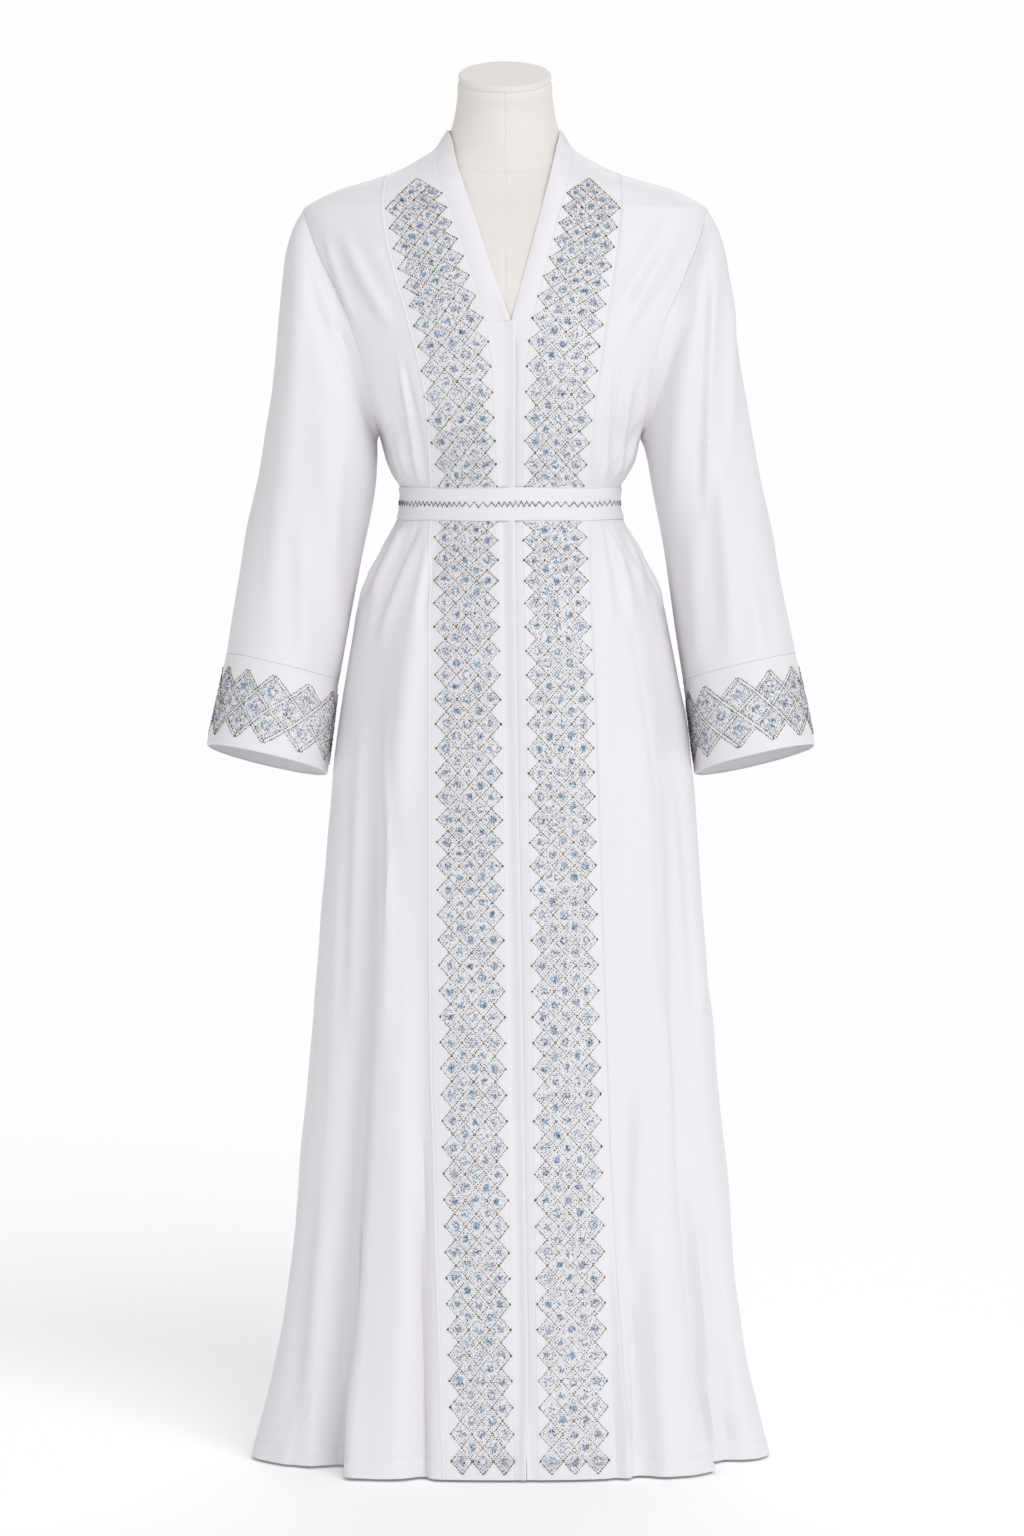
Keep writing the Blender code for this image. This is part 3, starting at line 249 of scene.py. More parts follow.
# Heights of the form's other rings, and those above which it shows and between which its neck seam dips.
FORM_SHOWN_Z = 1.220
FORM_SEAM_BAND = (1.3420, 1.3760)
FORM_ROWS = (FORM_BOTTOM_Z, 0.890, 0.945, 0.972, BELT_LOW_Z, BELT_HIGH_Z, 1.060, 1.089, 1.130, 1.175,
             FORM_SHOWN_Z, 1.265, 1.300, SHOULDER_POINT_Z - 0.001, FORM_SEAM_BAND[0], 1.3515, 1.3600,
             LONG_SEAM_TOP_Z, FORM_SEAM_BAND[1])

# Creases of the front as seen from the front: upper end, lower end, sideways bow, half width, height above
# (below zero under) the cloth, and the furrow beside it, on the wearer's left where it is above zero.
FRONT_CREASES = (
    (-0.1813, 1.3117, -0.1189, 1.1944, -0.0040, 0.0075, 0.0052, -0.0016),
    (-0.1983, 1.3079, -0.1589, 1.1998, -0.0030, 0.0042, 0.0028, -0.0016),
    (-0.1563, 1.3013, -0.1189, 1.2308, 0.0020, 0.0080, 0.0018, 0.0),
    (-0.2218, 1.3252, -0.1675, 1.2981, 0.0010, 0.0080, 0.0014, 0.0),
    (-0.1210, 1.1787, -0.0951, 1.0225, 0.0020, 0.0032, 0.0034, 0.0026),
    (-0.1420, 1.1434, -0.1119, 1.0225, 0.0030, 0.0058, 0.0036, -0.0018),
    (-0.1294, 1.1309, -0.1056, 1.0225, 0.0020, 0.0030, 0.0016, 0.0),
    (-0.1504, 1.1559, -0.1255, 1.0537, 0.0020, 0.0045, 0.0020, 0.0),
    (-0.1075, 1.1475, -0.0867, 1.0225, 0.0020, 0.0024, -0.0012, 0.0),
    (0.1730, 1.3327, 0.0981, 1.2080, 0.0030, 0.0090, -0.0044, 0.0),
    (0.1960, 1.3036, 0.1149, 1.1830, 0.0030, 0.0065, -0.0034, 0.0012),
    (0.1856, 1.3202, 0.1211, 1.2184, 0.0020, 0.0050, 0.0018, 0.0),
    (0.1439, 1.2515, 0.1043, 1.1767, 0.0020, 0.0060, 0.0022, 0.0),
    (0.1043, 1.1725, 0.0982, 1.0225, -0.0010, 0.0030, 0.0026, 0.0016),
    (0.1168, 1.1725, 0.1076, 1.0225, -0.0020, 0.0028, -0.0026, 0.0),
    (0.1294, 1.1705, 0.1139, 1.0225, -0.0030, 0.0034, 0.0026, -0.0018),
    (0.1420, 1.1663, 0.1171, 1.0329, -0.0030, 0.0040, -0.0030, 0.0),
    (0.1463, 1.1435, 0.1235, 1.0433, -0.0020, 0.0036, 0.0024, 0.0),
    (-0.1064, 1.0018, -0.1524, 0.9059, -0.0040, 0.0050, 0.0046, -0.0030),
    (-0.0833, 1.0019, -0.1419, 0.8560, -0.0060, 0.0058, 0.0046, -0.0034),
    (-0.1170, 0.9996, -0.1610, 0.9285, -0.0030, 0.0040, 0.0036, -0.0024),
    (-0.0812, 1.0000, -0.1022, 0.8771, -0.0030, 0.0045, 0.0028, 0.0020),
    (0.1148, 1.0018, 0.1421, 0.9183, 0.0030, 0.0045, 0.0034, 0.0020),
    (0.1021, 1.0019, 0.1294, 0.8768, 0.0040, 0.0050, 0.0032, -0.0020),
    (0.0916, 1.0000, 0.1063, 0.8771, 0.0020, 0.0045, 0.0022, 0.0014),
    (-0.0894, 0.9607, -0.1210, 0.6687, -0.0050, 0.0120, 0.0066, 0.0),
    (-0.1343, 0.8150, -0.1275, 0.5167, 0.0020, 0.0038, 0.0028, -0.0020),
    (-0.1249, 0.6904, -0.1337, 0.4075, -0.0020, 0.0085, 0.0040, 0.0),
    (-0.1568, 0.8139, -0.1681, 0.4142, -0.0020, 0.0075, 0.0046, -0.0030),
    (0.1166, 0.9397, 0.1608, 0.6474, 0.0030, 0.0042, -0.0022, 0.0010),
    (0.1333, 0.8150, 0.1465, 0.4378, 0.0030, 0.0070, 0.0030, 0.0),
    (0.1632, 0.7510, 0.1849, 0.4142, 0.0030, 0.0060, 0.0030, 0.0020),
    (0.0937, 0.7029, 0.1114, 0.6674, 0.0005, 0.0028, 0.0022, 0.0),
    (0.0947, 0.6779, 0.1104, 0.6423, 0.0005, 0.0028, 0.0022, 0.0),
    (0.0958, 0.6507, 0.1136, 0.6152, -0.0005, 0.0028, 0.0024, 0.0),
    (0.0969, 0.6235, 0.1115, 0.5921, 0.0005, 0.0028, 0.0019, 0.0),
    (0.0980, 0.5754, 0.1147, 0.5377, 0.0005, 0.0030, 0.0020, 0.0),
    (0.1190, 0.1601, 0.1608, 0.1432, 0.0010, 0.0032, 0.0018, 0.0),
    (0.1148, 0.3143, 0.1463, 0.2553, -0.0020, 0.0045, 0.0016, 0.0),
    (0.2068, 0.0618, 0.2511, 0.0405, 0.0020, 0.0045, 0.0026, 0.0),
    (0.2153, 0.0362, 0.2575, 0.0213, 0.0020, 0.0040, 0.0022, 0.0),
    (-0.0944, 0.4150, -0.0944, -0.1950, 0.0005, 0.0036, -0.0074, 0.0),
    (-0.1125, 0.3990, -0.1135, -0.1880, -0.0010, 0.0110, 0.0050, 0.0),
    (-0.1460, 0.5600, -0.1744, -0.2630, -0.0020, 0.0085, 0.0078, -0.0060),
    (-0.1920, 0.3300, -0.2216, -0.1550, -0.0030, 0.0100, 0.0060, -0.0030),
    (0.0980, 0.2900, 0.1113, -0.1360, 0.0020, 0.0050, -0.0048, 0.0),
    (0.1170, 0.2400, 0.1222, -0.1130, 0.0010, 0.0045, 0.0033, 0.0027),
    (0.1820, 0.3750, 0.2242, -0.1760, 0.0040, 0.0085, 0.0075, 0.0051),
    (0.1500, 0.5400, 0.1670, 0.3000, 0.0040, 0.0070, 0.0039, 0.0033),
    (0.1390, 0.4200, 0.1270, 0.1850, -0.0030, 0.0070, 0.0030, -0.0024),
    (0.2030, 0.5300, 0.1960, 0.4750, 0.0020, 0.0050, 0.0030, 0.0021),
    (0.1500, 0.3000, 0.1607, -0.1410, 0.0020, 0.0110, 0.0045, 0.0),
)

# The same round the sides and back, with ring angles in degrees in place of x.
BACK_CREASES = (
    (112, 1.300, 128, 1.200, 0.004, 0.0090, 0.0039, 0.0019),
    (248, 1.300, 232, 1.200, -0.004, 0.0090, 0.0039, -0.0019),
    (122, 1.262, 140, 1.168, 0.004, 0.0110, -0.0035, 0.0),
    (238, 1.258, 221, 1.172, -0.004, 0.0110, -0.0035, 0.0),
    (150, 1.330, 154, 1.230, 0.002, 0.0120, 0.0028, 0.0),
    (208, 1.325, 205, 1.240, -0.002, 0.0120, 0.0028, 0.0),
    (100, 1.170, 104, 1.045, 0.003, 0.0080, 0.0042, 0.0022),
    (260, 1.168, 257, 1.045, -0.003, 0.0080, 0.0039, -0.0022),
    (128, 1.150, 132, 1.042, 0.003, 0.0080, 0.0035, 0.0019),
    (172, 1.140, 173, 1.040, 0.002, 0.0080, 0.0035, 0.0016),
    (214, 1.150, 211, 1.042, -0.003, 0.0080, 0.0039, -0.0019),
    (236, 1.135, 233, 1.044, -0.002, 0.0070, 0.0031, 0.0016),
    (108, 0.994, 104, 0.860, -0.004, 0.0090, 0.0046, 0.0025),
    (136, 0.994, 133, 0.840, -0.003, 0.0090, 0.0046, -0.0025),
    (158, 0.994, 158, 0.850, 0.002, 0.0080, 0.0039, 0.0022),
    (192, 0.994, 193, 0.840, 0.002, 0.0090, 0.0046, -0.0022),
    (222, 0.994, 225, 0.850, 0.003, 0.0090, 0.0042, 0.0025),
    (250, 0.994, 254, 0.860, 0.004, 0.0080, 0.0042, -0.0022),
    (84, 0.990, 80, 0.900, -0.004, 0.0070, 0.0039, 0.0019),
    (-84, 0.990, -80, 0.900, 0.004, 0.0070, 0.0039, -0.0019),
    (92, 0.560, 84, 0.180, -0.006, 0.0140, 0.0063, 0.0031),
    (-92, 0.600, -86, 0.200, 0.006, 0.0140, 0.0059, -0.0031),
    (124, 0.700, 120, 0.300, -0.006, 0.0150, 0.0059, 0.0028),
    (156, 0.520, 161.5, -0.244, 0.006, 0.0160, 0.0077, -0.0035),
    (175, 0.760, 171, 0.420, -0.005, 0.0140, 0.0049, 0.0022),
    (191, 0.420, 195.3, -0.197, 0.004, 0.0150, 0.0070, 0.0035),
    (228, 0.620, 233, 0.160, 0.006, 0.0150, 0.0063, -0.0028),
    (143, 0.300, 138.8, -0.141, -0.004, 0.0150, 0.0063, 0.0028),
    (246, 0.360, 248.9, -0.169, 0.004, 0.0150, 0.0059, 0.0028),
    (107, 0.330, 105.6, -0.155, -0.004, 0.0150, 0.0063, -0.0028),
)

# Creases of the sleeves' fronts as seen from the front, on the wearer's right and left.
SLEEVE_CREASES = {
    "right": (
        (-0.2180, 1.3277, -0.1640, 1.1164, -0.0030, 0.0056, 0.0044, -0.0020),
        (-0.2052, 1.3066, -0.1610, 1.1353, -0.0030, 0.0056, -0.0022, 0.0),
        (-0.2128, 1.3214, -0.1827, 1.2002, -0.0020, 0.0030, 0.0022, 0.0),
        (-0.2233, 1.3068, -0.2379, 0.9799, 0.0030, 0.0095, 0.0044, 0.0),
        (-0.2377, 1.2004, -0.2577, 0.8742, 0.0030, 0.0100, 0.0036, 0.0),
        (-0.2016, 1.1269, -0.1834, 0.8221, 0.0040, 0.0090, 0.0036, 0.0),
        (-0.2228, 1.0011, -0.2191, 0.8117, 0.0020, 0.0080, 0.0030, -0.0014),
        (-0.1755, 1.1059, -0.1832, 0.9589, -0.0030, 0.0070, 0.0030, 0.0),
    ),
    "left": (
        (0.2107, 1.3214, 0.1680, 1.2086, 0.0020, 0.0045, 0.0034, 0.0),
        (0.2181, 1.3131, 0.2053, 0.9799, -0.0040, 0.0050, 0.0044, -0.0024),
        (0.2308, 1.2839, 0.2294, 1.0640, 0.0020, 0.0046, 0.0034, -0.0018),
        (0.1929, 1.2315, 0.1725, 0.9800, -0.0060, 0.0110, 0.0048, 0.0),
        (0.2419, 1.2004, 0.2616, 0.9586, 0.0030, 0.0085, 0.0036, 0.0),
        (0.2143, 1.0850, 0.2318, 0.8326, 0.0030, 0.0090, 0.0036, -0.0018),
        (0.1872, 1.0010, 0.1981, 0.8221, 0.0020, 0.0080, 0.0032, 0.0),
        (0.2464, 0.9589, 0.2680, 0.8112, 0.0020, 0.0080, 0.0028, 0.0014),
    ),
}

# Creases behind a sleeve: phi in degrees and metres down from the armhole at both ends, then as above.
SLEEVE_BACK_CREASES = (
    (300, 0.030, 292, 0.190, 0.004, 0.0070, -0.0039, 0.0),
    (284, 0.050, 280, 0.230, 0.004, 0.0080, 0.0039, 0.0018),
    (318, 0.060, 322, 0.250, 0.003, 0.0080, 0.0036, -0.0016),
    (262, 0.090, 258, 0.200, 0.003, 0.0065, 0.0031, 0.0018),
    (240, 0.110, 246, 0.190, 0.002, 0.0060, -0.0029, 0.0),
    (300, 0.230, 306, 0.350, 0.004, 0.0090, 0.0034, 0.0018),
    (268, 0.260, 262, 0.390, 0.004, 0.0090, 0.0034, -0.0018),
    (336, 0.200, 342, 0.330, 0.003, 0.0090, 0.0029, 0.0),
    (330, 0.330, 326, 0.450, 0.003, 0.0090, 0.0031, 0.0018),
    (286, 0.370, 290, 0.480, 0.003, 0.0090, -0.0029, 0.0),
    (0, 0.120, 6, 0.300, 0.003, 0.0080, 0.0026, 0.0016),
    (196, 0.060, 204, 0.210, 0.003, 0.0070, -0.0029, 0.0),
)

# How a crease's ends fade, in shares of its length, where its furrow lies, in half widths, and how far the
# front has to face forwards for its creases to show in full.
CREASE_SOFT = 0.32
FURROW_PLACE = 1.7
GOWN_FACING = 0.2
SLEEVE_FACING = 0.25

# Finer gathers at the belt: their bands of ring angles, how many a band has, how far they stray in shares
# of their spacing, the least and most of their length, half width and height, and how they start and widen.
# BELT_CLEAR is the height over which all creases fade at the belt.
GATHERED = ((-172, -46), (48, 188))
FINE_GATHERS = 30
FINE_STRAY = 0.3
FINE_LENGTHS = (0.030, 0.085)
FINE_WIDTHS = (0.0022, 0.0036)
FINE_HEIGHTS = (0.0006, 0.0016)
FINE_START = 0.012
FINE_WIDENING = 6
BELT_CLEAR = 0.012

# Long swells and short ripples of the cloth: their height, and two waves for each, by their rates along and
# round the cloth and their start. A sleeve's first wave starts by its side, and a cuff's rates are round it.
SWELL = 0.0007
SWELL_WAVES = ((21, 3.1, 0.0), (13, -5.0, 1.0))
RIPPLE = 0.0004
RIPPLE_WAVES = ((47, 9, 0.0), (-31, 8, 0.0))
SLEEVE_SWELL = 0.0009
SLEEVE_RATES = ((17, 2), (-9, 3))
CUFF_SWELL = 0.0007
CUFF_SWELL_RATE = 3
CUFF_RIPPLE = 0.0004
CUFF_RIPPLE_RATE = 7

# Walls of cloth and the seams between them: thickness, gaps, and the height, place and width of the dip and
# the ridge along a seam.
WALL = 0.0012
BAND_WALL = 0.0014
SEAM_GAP = 0.00006
SEAM_END = 0.0003
SEAM_DIP = 0.00012
SEAM_SOFT = 0.0009
SEAM_RIDGE = 0.00015
PIPED_RIDGE = 0.0009
RIDGE_PLACE = 0.0016
RIDGE_WIDTH = 0.0010

# The hem's turned-up edge: its depth, its rise over the step at its top, its stitching, its rolled end, and
# how far the beading is lifted over it.
HEM_TURN = 0.020
HEM_STEP = 0.002
HEM_RISE = 0.0004
HEM_STITCH = 0.0005
HEM_STITCH_WIDTH = 0.0013
HEM_ROLL = 0.0006
HEM_ROLL_WIDTH = 0.0012
HEM_LIFT = 0.0011

# The closing: how far the right band reaches over the left one, how it rises and rolls at its edge, the
# hollow behind that edge, how the left band sinks under it (half widths where covered and at the V point,
# and how much wider it is lower down), and how far both fall open below the slit's top.
FRONT_OVERLAP = 0.0026
OVERLAP_RISE = 0.0026
OVERLAP_RUN = 0.0095
CLOSING_ROLL = 0.0014
ROLL_WIDTH = 0.0020
CLOSING_HOLLOW = 0.0014
HOLLOW_PLACE = 0.0125
HOLLOW_WIDTH = 0.0050
HOLLOW_FADE = 0.120
UNDERLAP_DIP = 0.0016
UNDERLAP_WIDTHS = (0.0020, 0.0050, 0.0030)
UNDERLAP_WIDENING = 0.200
UNDERLAP_FADE = 0.030
SLIT_TOP_Z = 0.125
SLIT_RIGHT = 0.0024
SLIT_LEFT = 0.0006

# Rows and columns of the cloth's grids, with places close together at the edges: in metres from them, but
# within a share of the width where a panel is narrow. Even rows have a start, an end and a step, a panel's
# width is measured at WIDTH_CHECKS places, and folds sharper than SHARP_ANGLE aren't smoothed.
EDGE_STEPS = (0.0, 0.0007, 0.0016, 0.0028, 0.0048)
NARROW_EDGE = 0.35
HEM_ROWS = (0, 0.0012, 0.003, 0.008, 0.014, 0.0185, 0.0200, 0.0215, 0.027)
SKIRT_ROWS = (0.039, 0.860, 0.010)
BODICE_ROWS = (0.864, 1.084, 0.0062)
LOW_SHOULDER_ROWS = 30
HIGH_SHOULDER_ROWS = 18
WIDTH_CHECKS = 13
SHARP_ANGLE = math.radians(42)
BAND_COLUMNS = 6
CENTRE_COLUMNS = 20
SIDE_COLUMNS = 52
BACK_COLUMNS = 112
ARMHOLE_STEPS = 64

# Sleeves: length of a row, mean radius, how their creases fade at both ends. Cuffs: rows, depth, lines of
# stitching down from the seam, the depths and widths of those lines and of the rolled end, and the turn
# over which normals are measured.
SLEEVE_ROW = 0.0055
SLEEVE_RADIUS = 0.068
SLEEVE_ENDS = (0.020, 0.012)
CUFF_ROWS = 22
CUFF_DEPTH = 0.101
CUFF_STITCHES = (0.0048, 0.0935)
CUFF_STITCH = 0.0004
CUFF_STITCH_WIDTH = 0.0009
CUFF_ROLL = 0.0009
CUFF_ROLL_WIDTH = 0.0012
CUFF_STEP = 0.01

# Neckband: columns, shares across it, rise, width, its seams' softness as a share of that, and the heights
# above the V point over which the rise starts and the rolled edge ends.
NECKBAND_FRONT = 90
NECKBAND_BACK = 64
NECKBAND_ACROSS = (0, 0.05, 0.12, 0.25, 0.42, 0.60, 0.76, 0.88, 0.95, 1.0)
NECKBAND_RISE = 0.0009
NECKBAND_WIDTH = 0.028
NECKBAND_SOFT = 0.05
NECKBAND_START = 0.030
NECKBAND_ROLLED = 0.040

# Belt: columns, shares across it, its rise and gap over the gown, the waves of its edges and of its slack
# with their rates round it, which for the slack is followed by the one across it, and its creases by share
# across, half width and depth. CREASES_COME says how deep those are on average and how far that varies, and
# CREASES_RATE how fast it does, round the belt and from one crease to the next.
BELT_COLUMNS = 300
BELT_ACROSS = (0, 0.02, 0.06, 0.13, 0.22, 0.32, 0.42, 0.5, 0.58, 0.68, 0.78, 0.87, 0.94, 0.98, 1.0)
BELT_RISE = 0.0014
BELT_LIFT = 0.0006
BELT_FLATNESS = 5
LAID_GAP = 0.0005
BELT_EDGE_WAVE = 0.0004
BELT_EDGE_RATES = (7, 13)
BELT_TOP_WAVE = 0.0006
BELT_TOP_RATE = 5
BELT_SLACK = 0.0005
BELT_SLACK_RATES = (11, 4)
BELT_CREASES = ((0.20, 0.05, 0.0007), (0.34, 0.035, 0.0005), (0.78, 0.06, 0.0006))
CREASES_COME = (0.6, 0.4)
CREASES_RATE = (3, 9)

# Dress form: sides of a ring and rows of its torso, then its seams: their depth and half widths, where the
# front one ends, the columns beside it in degrees, and the neck one's row spacing, heights and curve.
FORM_SIDES = 112
FORM_HIDDEN_ROWS = 50
FORM_OPEN_ROWS = 60
FORM_GROOVE = 0.0009
FRONT_GROOVE_WIDTH = 0.0007
NECK_GROOVE_SHARE = 0.8
NECK_GROOVE_WIDTH = 0.0008
FRONT_GROOVE_Z = 1.20
FORM_SEAM_COLUMNS = (-2.4, -1.7, -1.1, -0.6, 0.0, 0.6, 1.1, 1.7, 2.4)
FORM_SEAM_ROW = 0.0005
FORM_SEAM_FRONT_Z = 1.3657
FORM_SEAM_SIDE_Z = 1.3995
FORM_SEAM_CURVE = 1.5

# Beads: radii, the least and most of their sizes, how far the middle stands off the cloth in radii, and how
# far a bead strays from its place. BELT_CUT is how far from the belt the lattice is cut.
BEAD_TIP = 0.00125
BEAD_FILL = 0.00082
BEAD_HEART = 0.00098
BEAD_BELT = 0.00064
BEAD_SIZES = (0.85, 1.15)
BEAD_SUNK = 0.45
BEAD_STRAY = 0.00028
BELT_CUT = 0.00106
# Hearts: how far they stray, the least and most of their size, the share of their beads that is missing, and
# how much more is missing where the diamond is bare. INNER_BARER is that of a diamond's inner rows.
HEART_STRAY = 0.0007
HEART_SIZES = (0.75, 1.2)
HEART_BARE = 0.14
HEART_BARER = 0.6
INNER_BARER = 0.3

# How bead kinds mix in each kind of row.
MIXES = {
    "line": {"taupe": 0.55, "dark": 0.34, "beige": 0.08, "clear": 0.03},
    "light line": {"taupe": 0.54, "dark": 0.20, "beige": 0.18, "clear": 0.08},
    "cuff line": {"taupe": 0.47, "beige": 0.31, "dark": 0.18, "clear": 0.04},
    "rim": {"taupe": 0.46, "dark": 0.38, "beige": 0.16},
    "grey": {"pearl": 0.42, "clear": 0.11, "silver": 0.20, "taupe": 0.16, "dark": 0.04, "sky": 0.07},
    "pale": {"pearl": 0.58, "clear": 0.18, "silver": 0.24},
    "glass": {"pearl": 0.36, "clear": 0.11, "silver": 0.18, "sky": 0.14, "taupe": 0.14, "dark": 0.07},
    "heart": {"sky": 0.56, "blue": 0.17, "navy": 0.03, "pearl": 0.16, "silver": 0.08},
    "belt": {"navy": 0.44, "blue": 0.30, "silver": 0.26},
}
# Beads of one diamond: its sides (beads along each, mix, radius, and how far two rows of them lie beside
# the side, in half diamonds), its inner rows (share of the diamond's size, beads, mix), the rings of its
# heart (beads, radius), the most that may be missing, and half the diamond along and across, in metres.
FRONT_SEWING = {"side": 7, "line": "line", "bead": 0.00100, "apart": 0.0,
                "rows": ((0.73, 20, "grey"), (0.57, 15, "pale"), (0.43, 10, "grey")),
                "heart": ((9, 0.0034), (5, 0.0018), (1, 0.0)), "bare": 0.16, "half": (0.0128, 0.0115)}
LIGHT_SEWING = {**FRONT_SEWING, "line": "light line"}
CUFF_SEWING = {"side": 10, "line": "cuff line", "bead": 0.00098, "apart": 0.062,
               "rows": ((0.84, 38, "glass"), (0.72, 33, "glass"), (0.60, 27, "glass"), (0.48, 21, "glass"),
                        (0.36, 15, "glass"), (0.26, 10, "glass")),
               "heart": ((11, 0.0042), (6, 0.0023), (1, 0.0)), "bare": 0.26, "half": (0.0190, 0.0185)}

# Zigzag of beads along the belt: height and how uneven it is, lengths of its longest and shortest waves and
# how sharply they change, the beads' spacing, and how many places its length is measured at. UNEVEN_BY and
# CHANGES_BY are pairs of waves whose product it follows, each by its rate round the belt and its start.
ZIGZAG_RISE = 0.0029
ZIGZAG_UNEVEN = 0.18
UNEVEN_BY = ((41, 0), (23, 1))
ZIGZAG_WAVES = (0.0098, 0.0058)
ZIGZAG_CHANGE = 1.6
CHANGES_BY = ((3, 0.4), (5, 2.0))
ZIGZAG_SPACING = 0.00118
ZIGZAG_PLACES = 1441

# Seeds of the random draws. A side's own sign is added to those of its beading.
GATHER_SEED = 11
BODICE_SEED = 21
SKIRT_SEED = 31
CUFF_SEED = 41
BELT_SEED = 51

# Finishes: grains of the woven ones by scale and depth, their surface, the steel, and the cells that bead
# tints vary by.
CREPE_GRAIN = (1400.0, 0.00008)
COVER_GRAIN = (1100.0, 0.00012)
GRAIN_STRENGTH = 0.5
SHEEN_ROUGHNESS = 0.4
COVER_ROUGHNESS = 0.85
COVER_SHEEN = 0.2
COVER_SHADE = 0.97
STEEL_ROUGHNESS = 0.34
BEAD_CELLS = 520.0

# Stage: half the floor's side, its roughness and glow, the backdrop's strength, where the lights stand and
# look, and the camera's place, dip in degrees, lens and reach.
WHITE = (1, 1, 1, 1)
FLOOR_HALF = 60.0
FLOOR_ROUGHNESS = 0.9
FLOOR_GLOW = 0.128
BACKDROP = 0.99
KEY_PLACE = (2.5, -5.2, 5.0)
BACK_LIGHT_PLACE = (0.4, 5.0, 5.2)
LIGHTS_AIM = (0, 0, 0.8)
CAMERA_PLACE = (0, -5.5, 1.10)
CAMERA_DIP = 3.8
CAMERA_LENS = 120.8
CAMERA_REACH = 200.0


def curve(t, step, low, high, low_slope, high_slope):
    """Cubic between two places a step apart, at a share t of the way."""
    start = (1 + 2 * t) * (1 - t) ** 2 * low + t * (1 - t) ** 2 * step * low_slope
    end = t * t * (3 - 2 * t) * high + t * t * (t - 1) * step * high_slope
    return start + end


def smooth(table, column, at, key="z"):
    """Monotone cubic curve through a table's column."""
    x = np.array(table[key], float)
    y = np.array(table[column], float)
    secant = np.diff(y) / np.diff(x)
    slope = np.zeros(len(x))
    slope[0], slope[-1] = secant[0], secant[-1]
    product = secant[:-1] * secant[1:]
    total = secant[:-1] + secant[1:]
    slope[1:-1] = np.where(product > 0, 2 * product / np.where(total == 0, 1, total), 0)
    at = np.clip(np.asarray(at, float), x[0], x[-1])
    i = np.clip(np.searchsorted(x, at, side="right") - 1, 0, len(x) - 2)
    step = x[i + 1] - x[i]
    return curve((at - x[i]) / step, step, y[i], y[i + 1], slope[i], slope[i + 1])


def ease(x):
    """Soft step from 0 to 1."""
    x = np.clip(x, 0, 1)
    return x * x * (3 - 2 * x)


def bump(distance, width):
    """Soft ridge, 1 in the middle and 0 at its half width."""
    return np.where(np.abs(distance) < width, np.cos(0.5 * math.pi * distance / width) ** 2, 0.0)


def mound(distance, width):
    """Soft ridge, 1 in the middle, that dies away beyond its half width."""
    return np.exp(-(distance / width) ** 2)


def waves(along, across, first, second):
    """Product of two waves, each given by its rates along and across and its start."""
    return (np.sin(first[0] * along + first[1] * across + first[2])
            * np.sin(second[0] * along + second[1] * across + second[2]))


def turn(degrees, centre):
    """Angle from a ridge's centre, wrapped to within half a turn."""
    return (degrees - centre + 180) % 360 - 180


def fold_offset(angle, z):
    """How far the folds and gathers move the gown outwards."""
    degrees = np.degrees(angle)
    up = np.clip(z / BELT_LOW_Z, 0, 1)
    offset = np.zeros(np.broadcast(angle, z).shape)
    for hem, belt, width, ridge, fade in zip(*FOLDS.values()):
        centre = hem + (belt - hem) * up
        offset = offset + ridge * (1 - up) ** fade * bump(turn(degrees, centre), width)
    for centre, width, height, above in zip(*GATHERS.values()):
        away = (z - BELT_HIGH_Z) if above else (BELT_LOW_Z - z)
        fall = np.clip((GATHER_LENGTH - away) / (GATHER_LENGTH - GATHER_PEAK), 0, 1)
        along = ease(away / GATHER_PEAK) * fall * fall
        offset = offset + height * along * bump(turn(degrees, centre), width)
    return offset


def surface(angle, z):
    """Point of the gown's outer face at a ring angle and a height."""
    angle, z = np.broadcast_arrays(np.asarray(angle, float), np.asarray(z, float))
    sine, cosine = np.sin(angle), np.cos(angle)
    power = 2 / np.where(cosine > 0, smooth(BODY, "square", z), smooth(BODY, "back_square", z))
    x = smooth(BODY, "half", z) * np.sign(sine) * np.abs(sine) ** power
    depth = np.where(cosine > 0, smooth(BODY, "front", z), smooth(BODY, "back", z))
    y = -depth * np.sign(cosine) * np.abs(cosine) ** power
    offset = fold_offset(angle, z)
    length = np.hypot(x, y)
    x = x + offset * x / length
    y = y + offset * y / length
    return np.stack([x + smooth(BODY, "centre", z), y, z], axis=-1)


def unit(vectors):
    return vectors / np.linalg.norm(vectors, axis=-1, keepdims=True)


def outward(angle, z):
    """Unit normal of the gown's outer face."""
    around = surface(angle + NORMAL_STEP, z) - surface(angle - NORMAL_STEP, z)
    upward = surface(angle, z + NORMAL_STEP) - surface(angle, z - NORMAL_STEP)
    return unit(np.cross(around, upward))


def front_angle(x, z):
    """Ring angle of the front point that is seen at x."""
    ratio = (x - smooth(BODY, "centre", z)) / smooth(BODY, "half", z)
    power = smooth(BODY, "square", z) / 2
    return np.sign(ratio) * np.arcsin(np.clip(np.abs(ratio), 0, 1) ** power)


def seam(column):
    """Ring angle of a front seam, as a function of the height."""
    return lambda z: front_angle(smooth(FRONT_SEAMS, column, z), z)


def armhole_angle(z, square="square"):
    """How far from the centre the armhole seam is, as a ring angle of the front or of the back."""
    ratio = np.clip(smooth(ARMHOLE, "half", z) / smooth(BODY, "half", z), 0, 1)
    return np.arcsin(ratio ** (smooth(BODY, square, z) / 2))


def back_armhole_angle(z, front_edge):
    """The back armhole is seen at the same distance from the centre as the front one."""
    back = math.pi - armhole_angle(z, "back_square")
    return np.where(front_edge > QUARTER - CLOSE, front_edge, back)


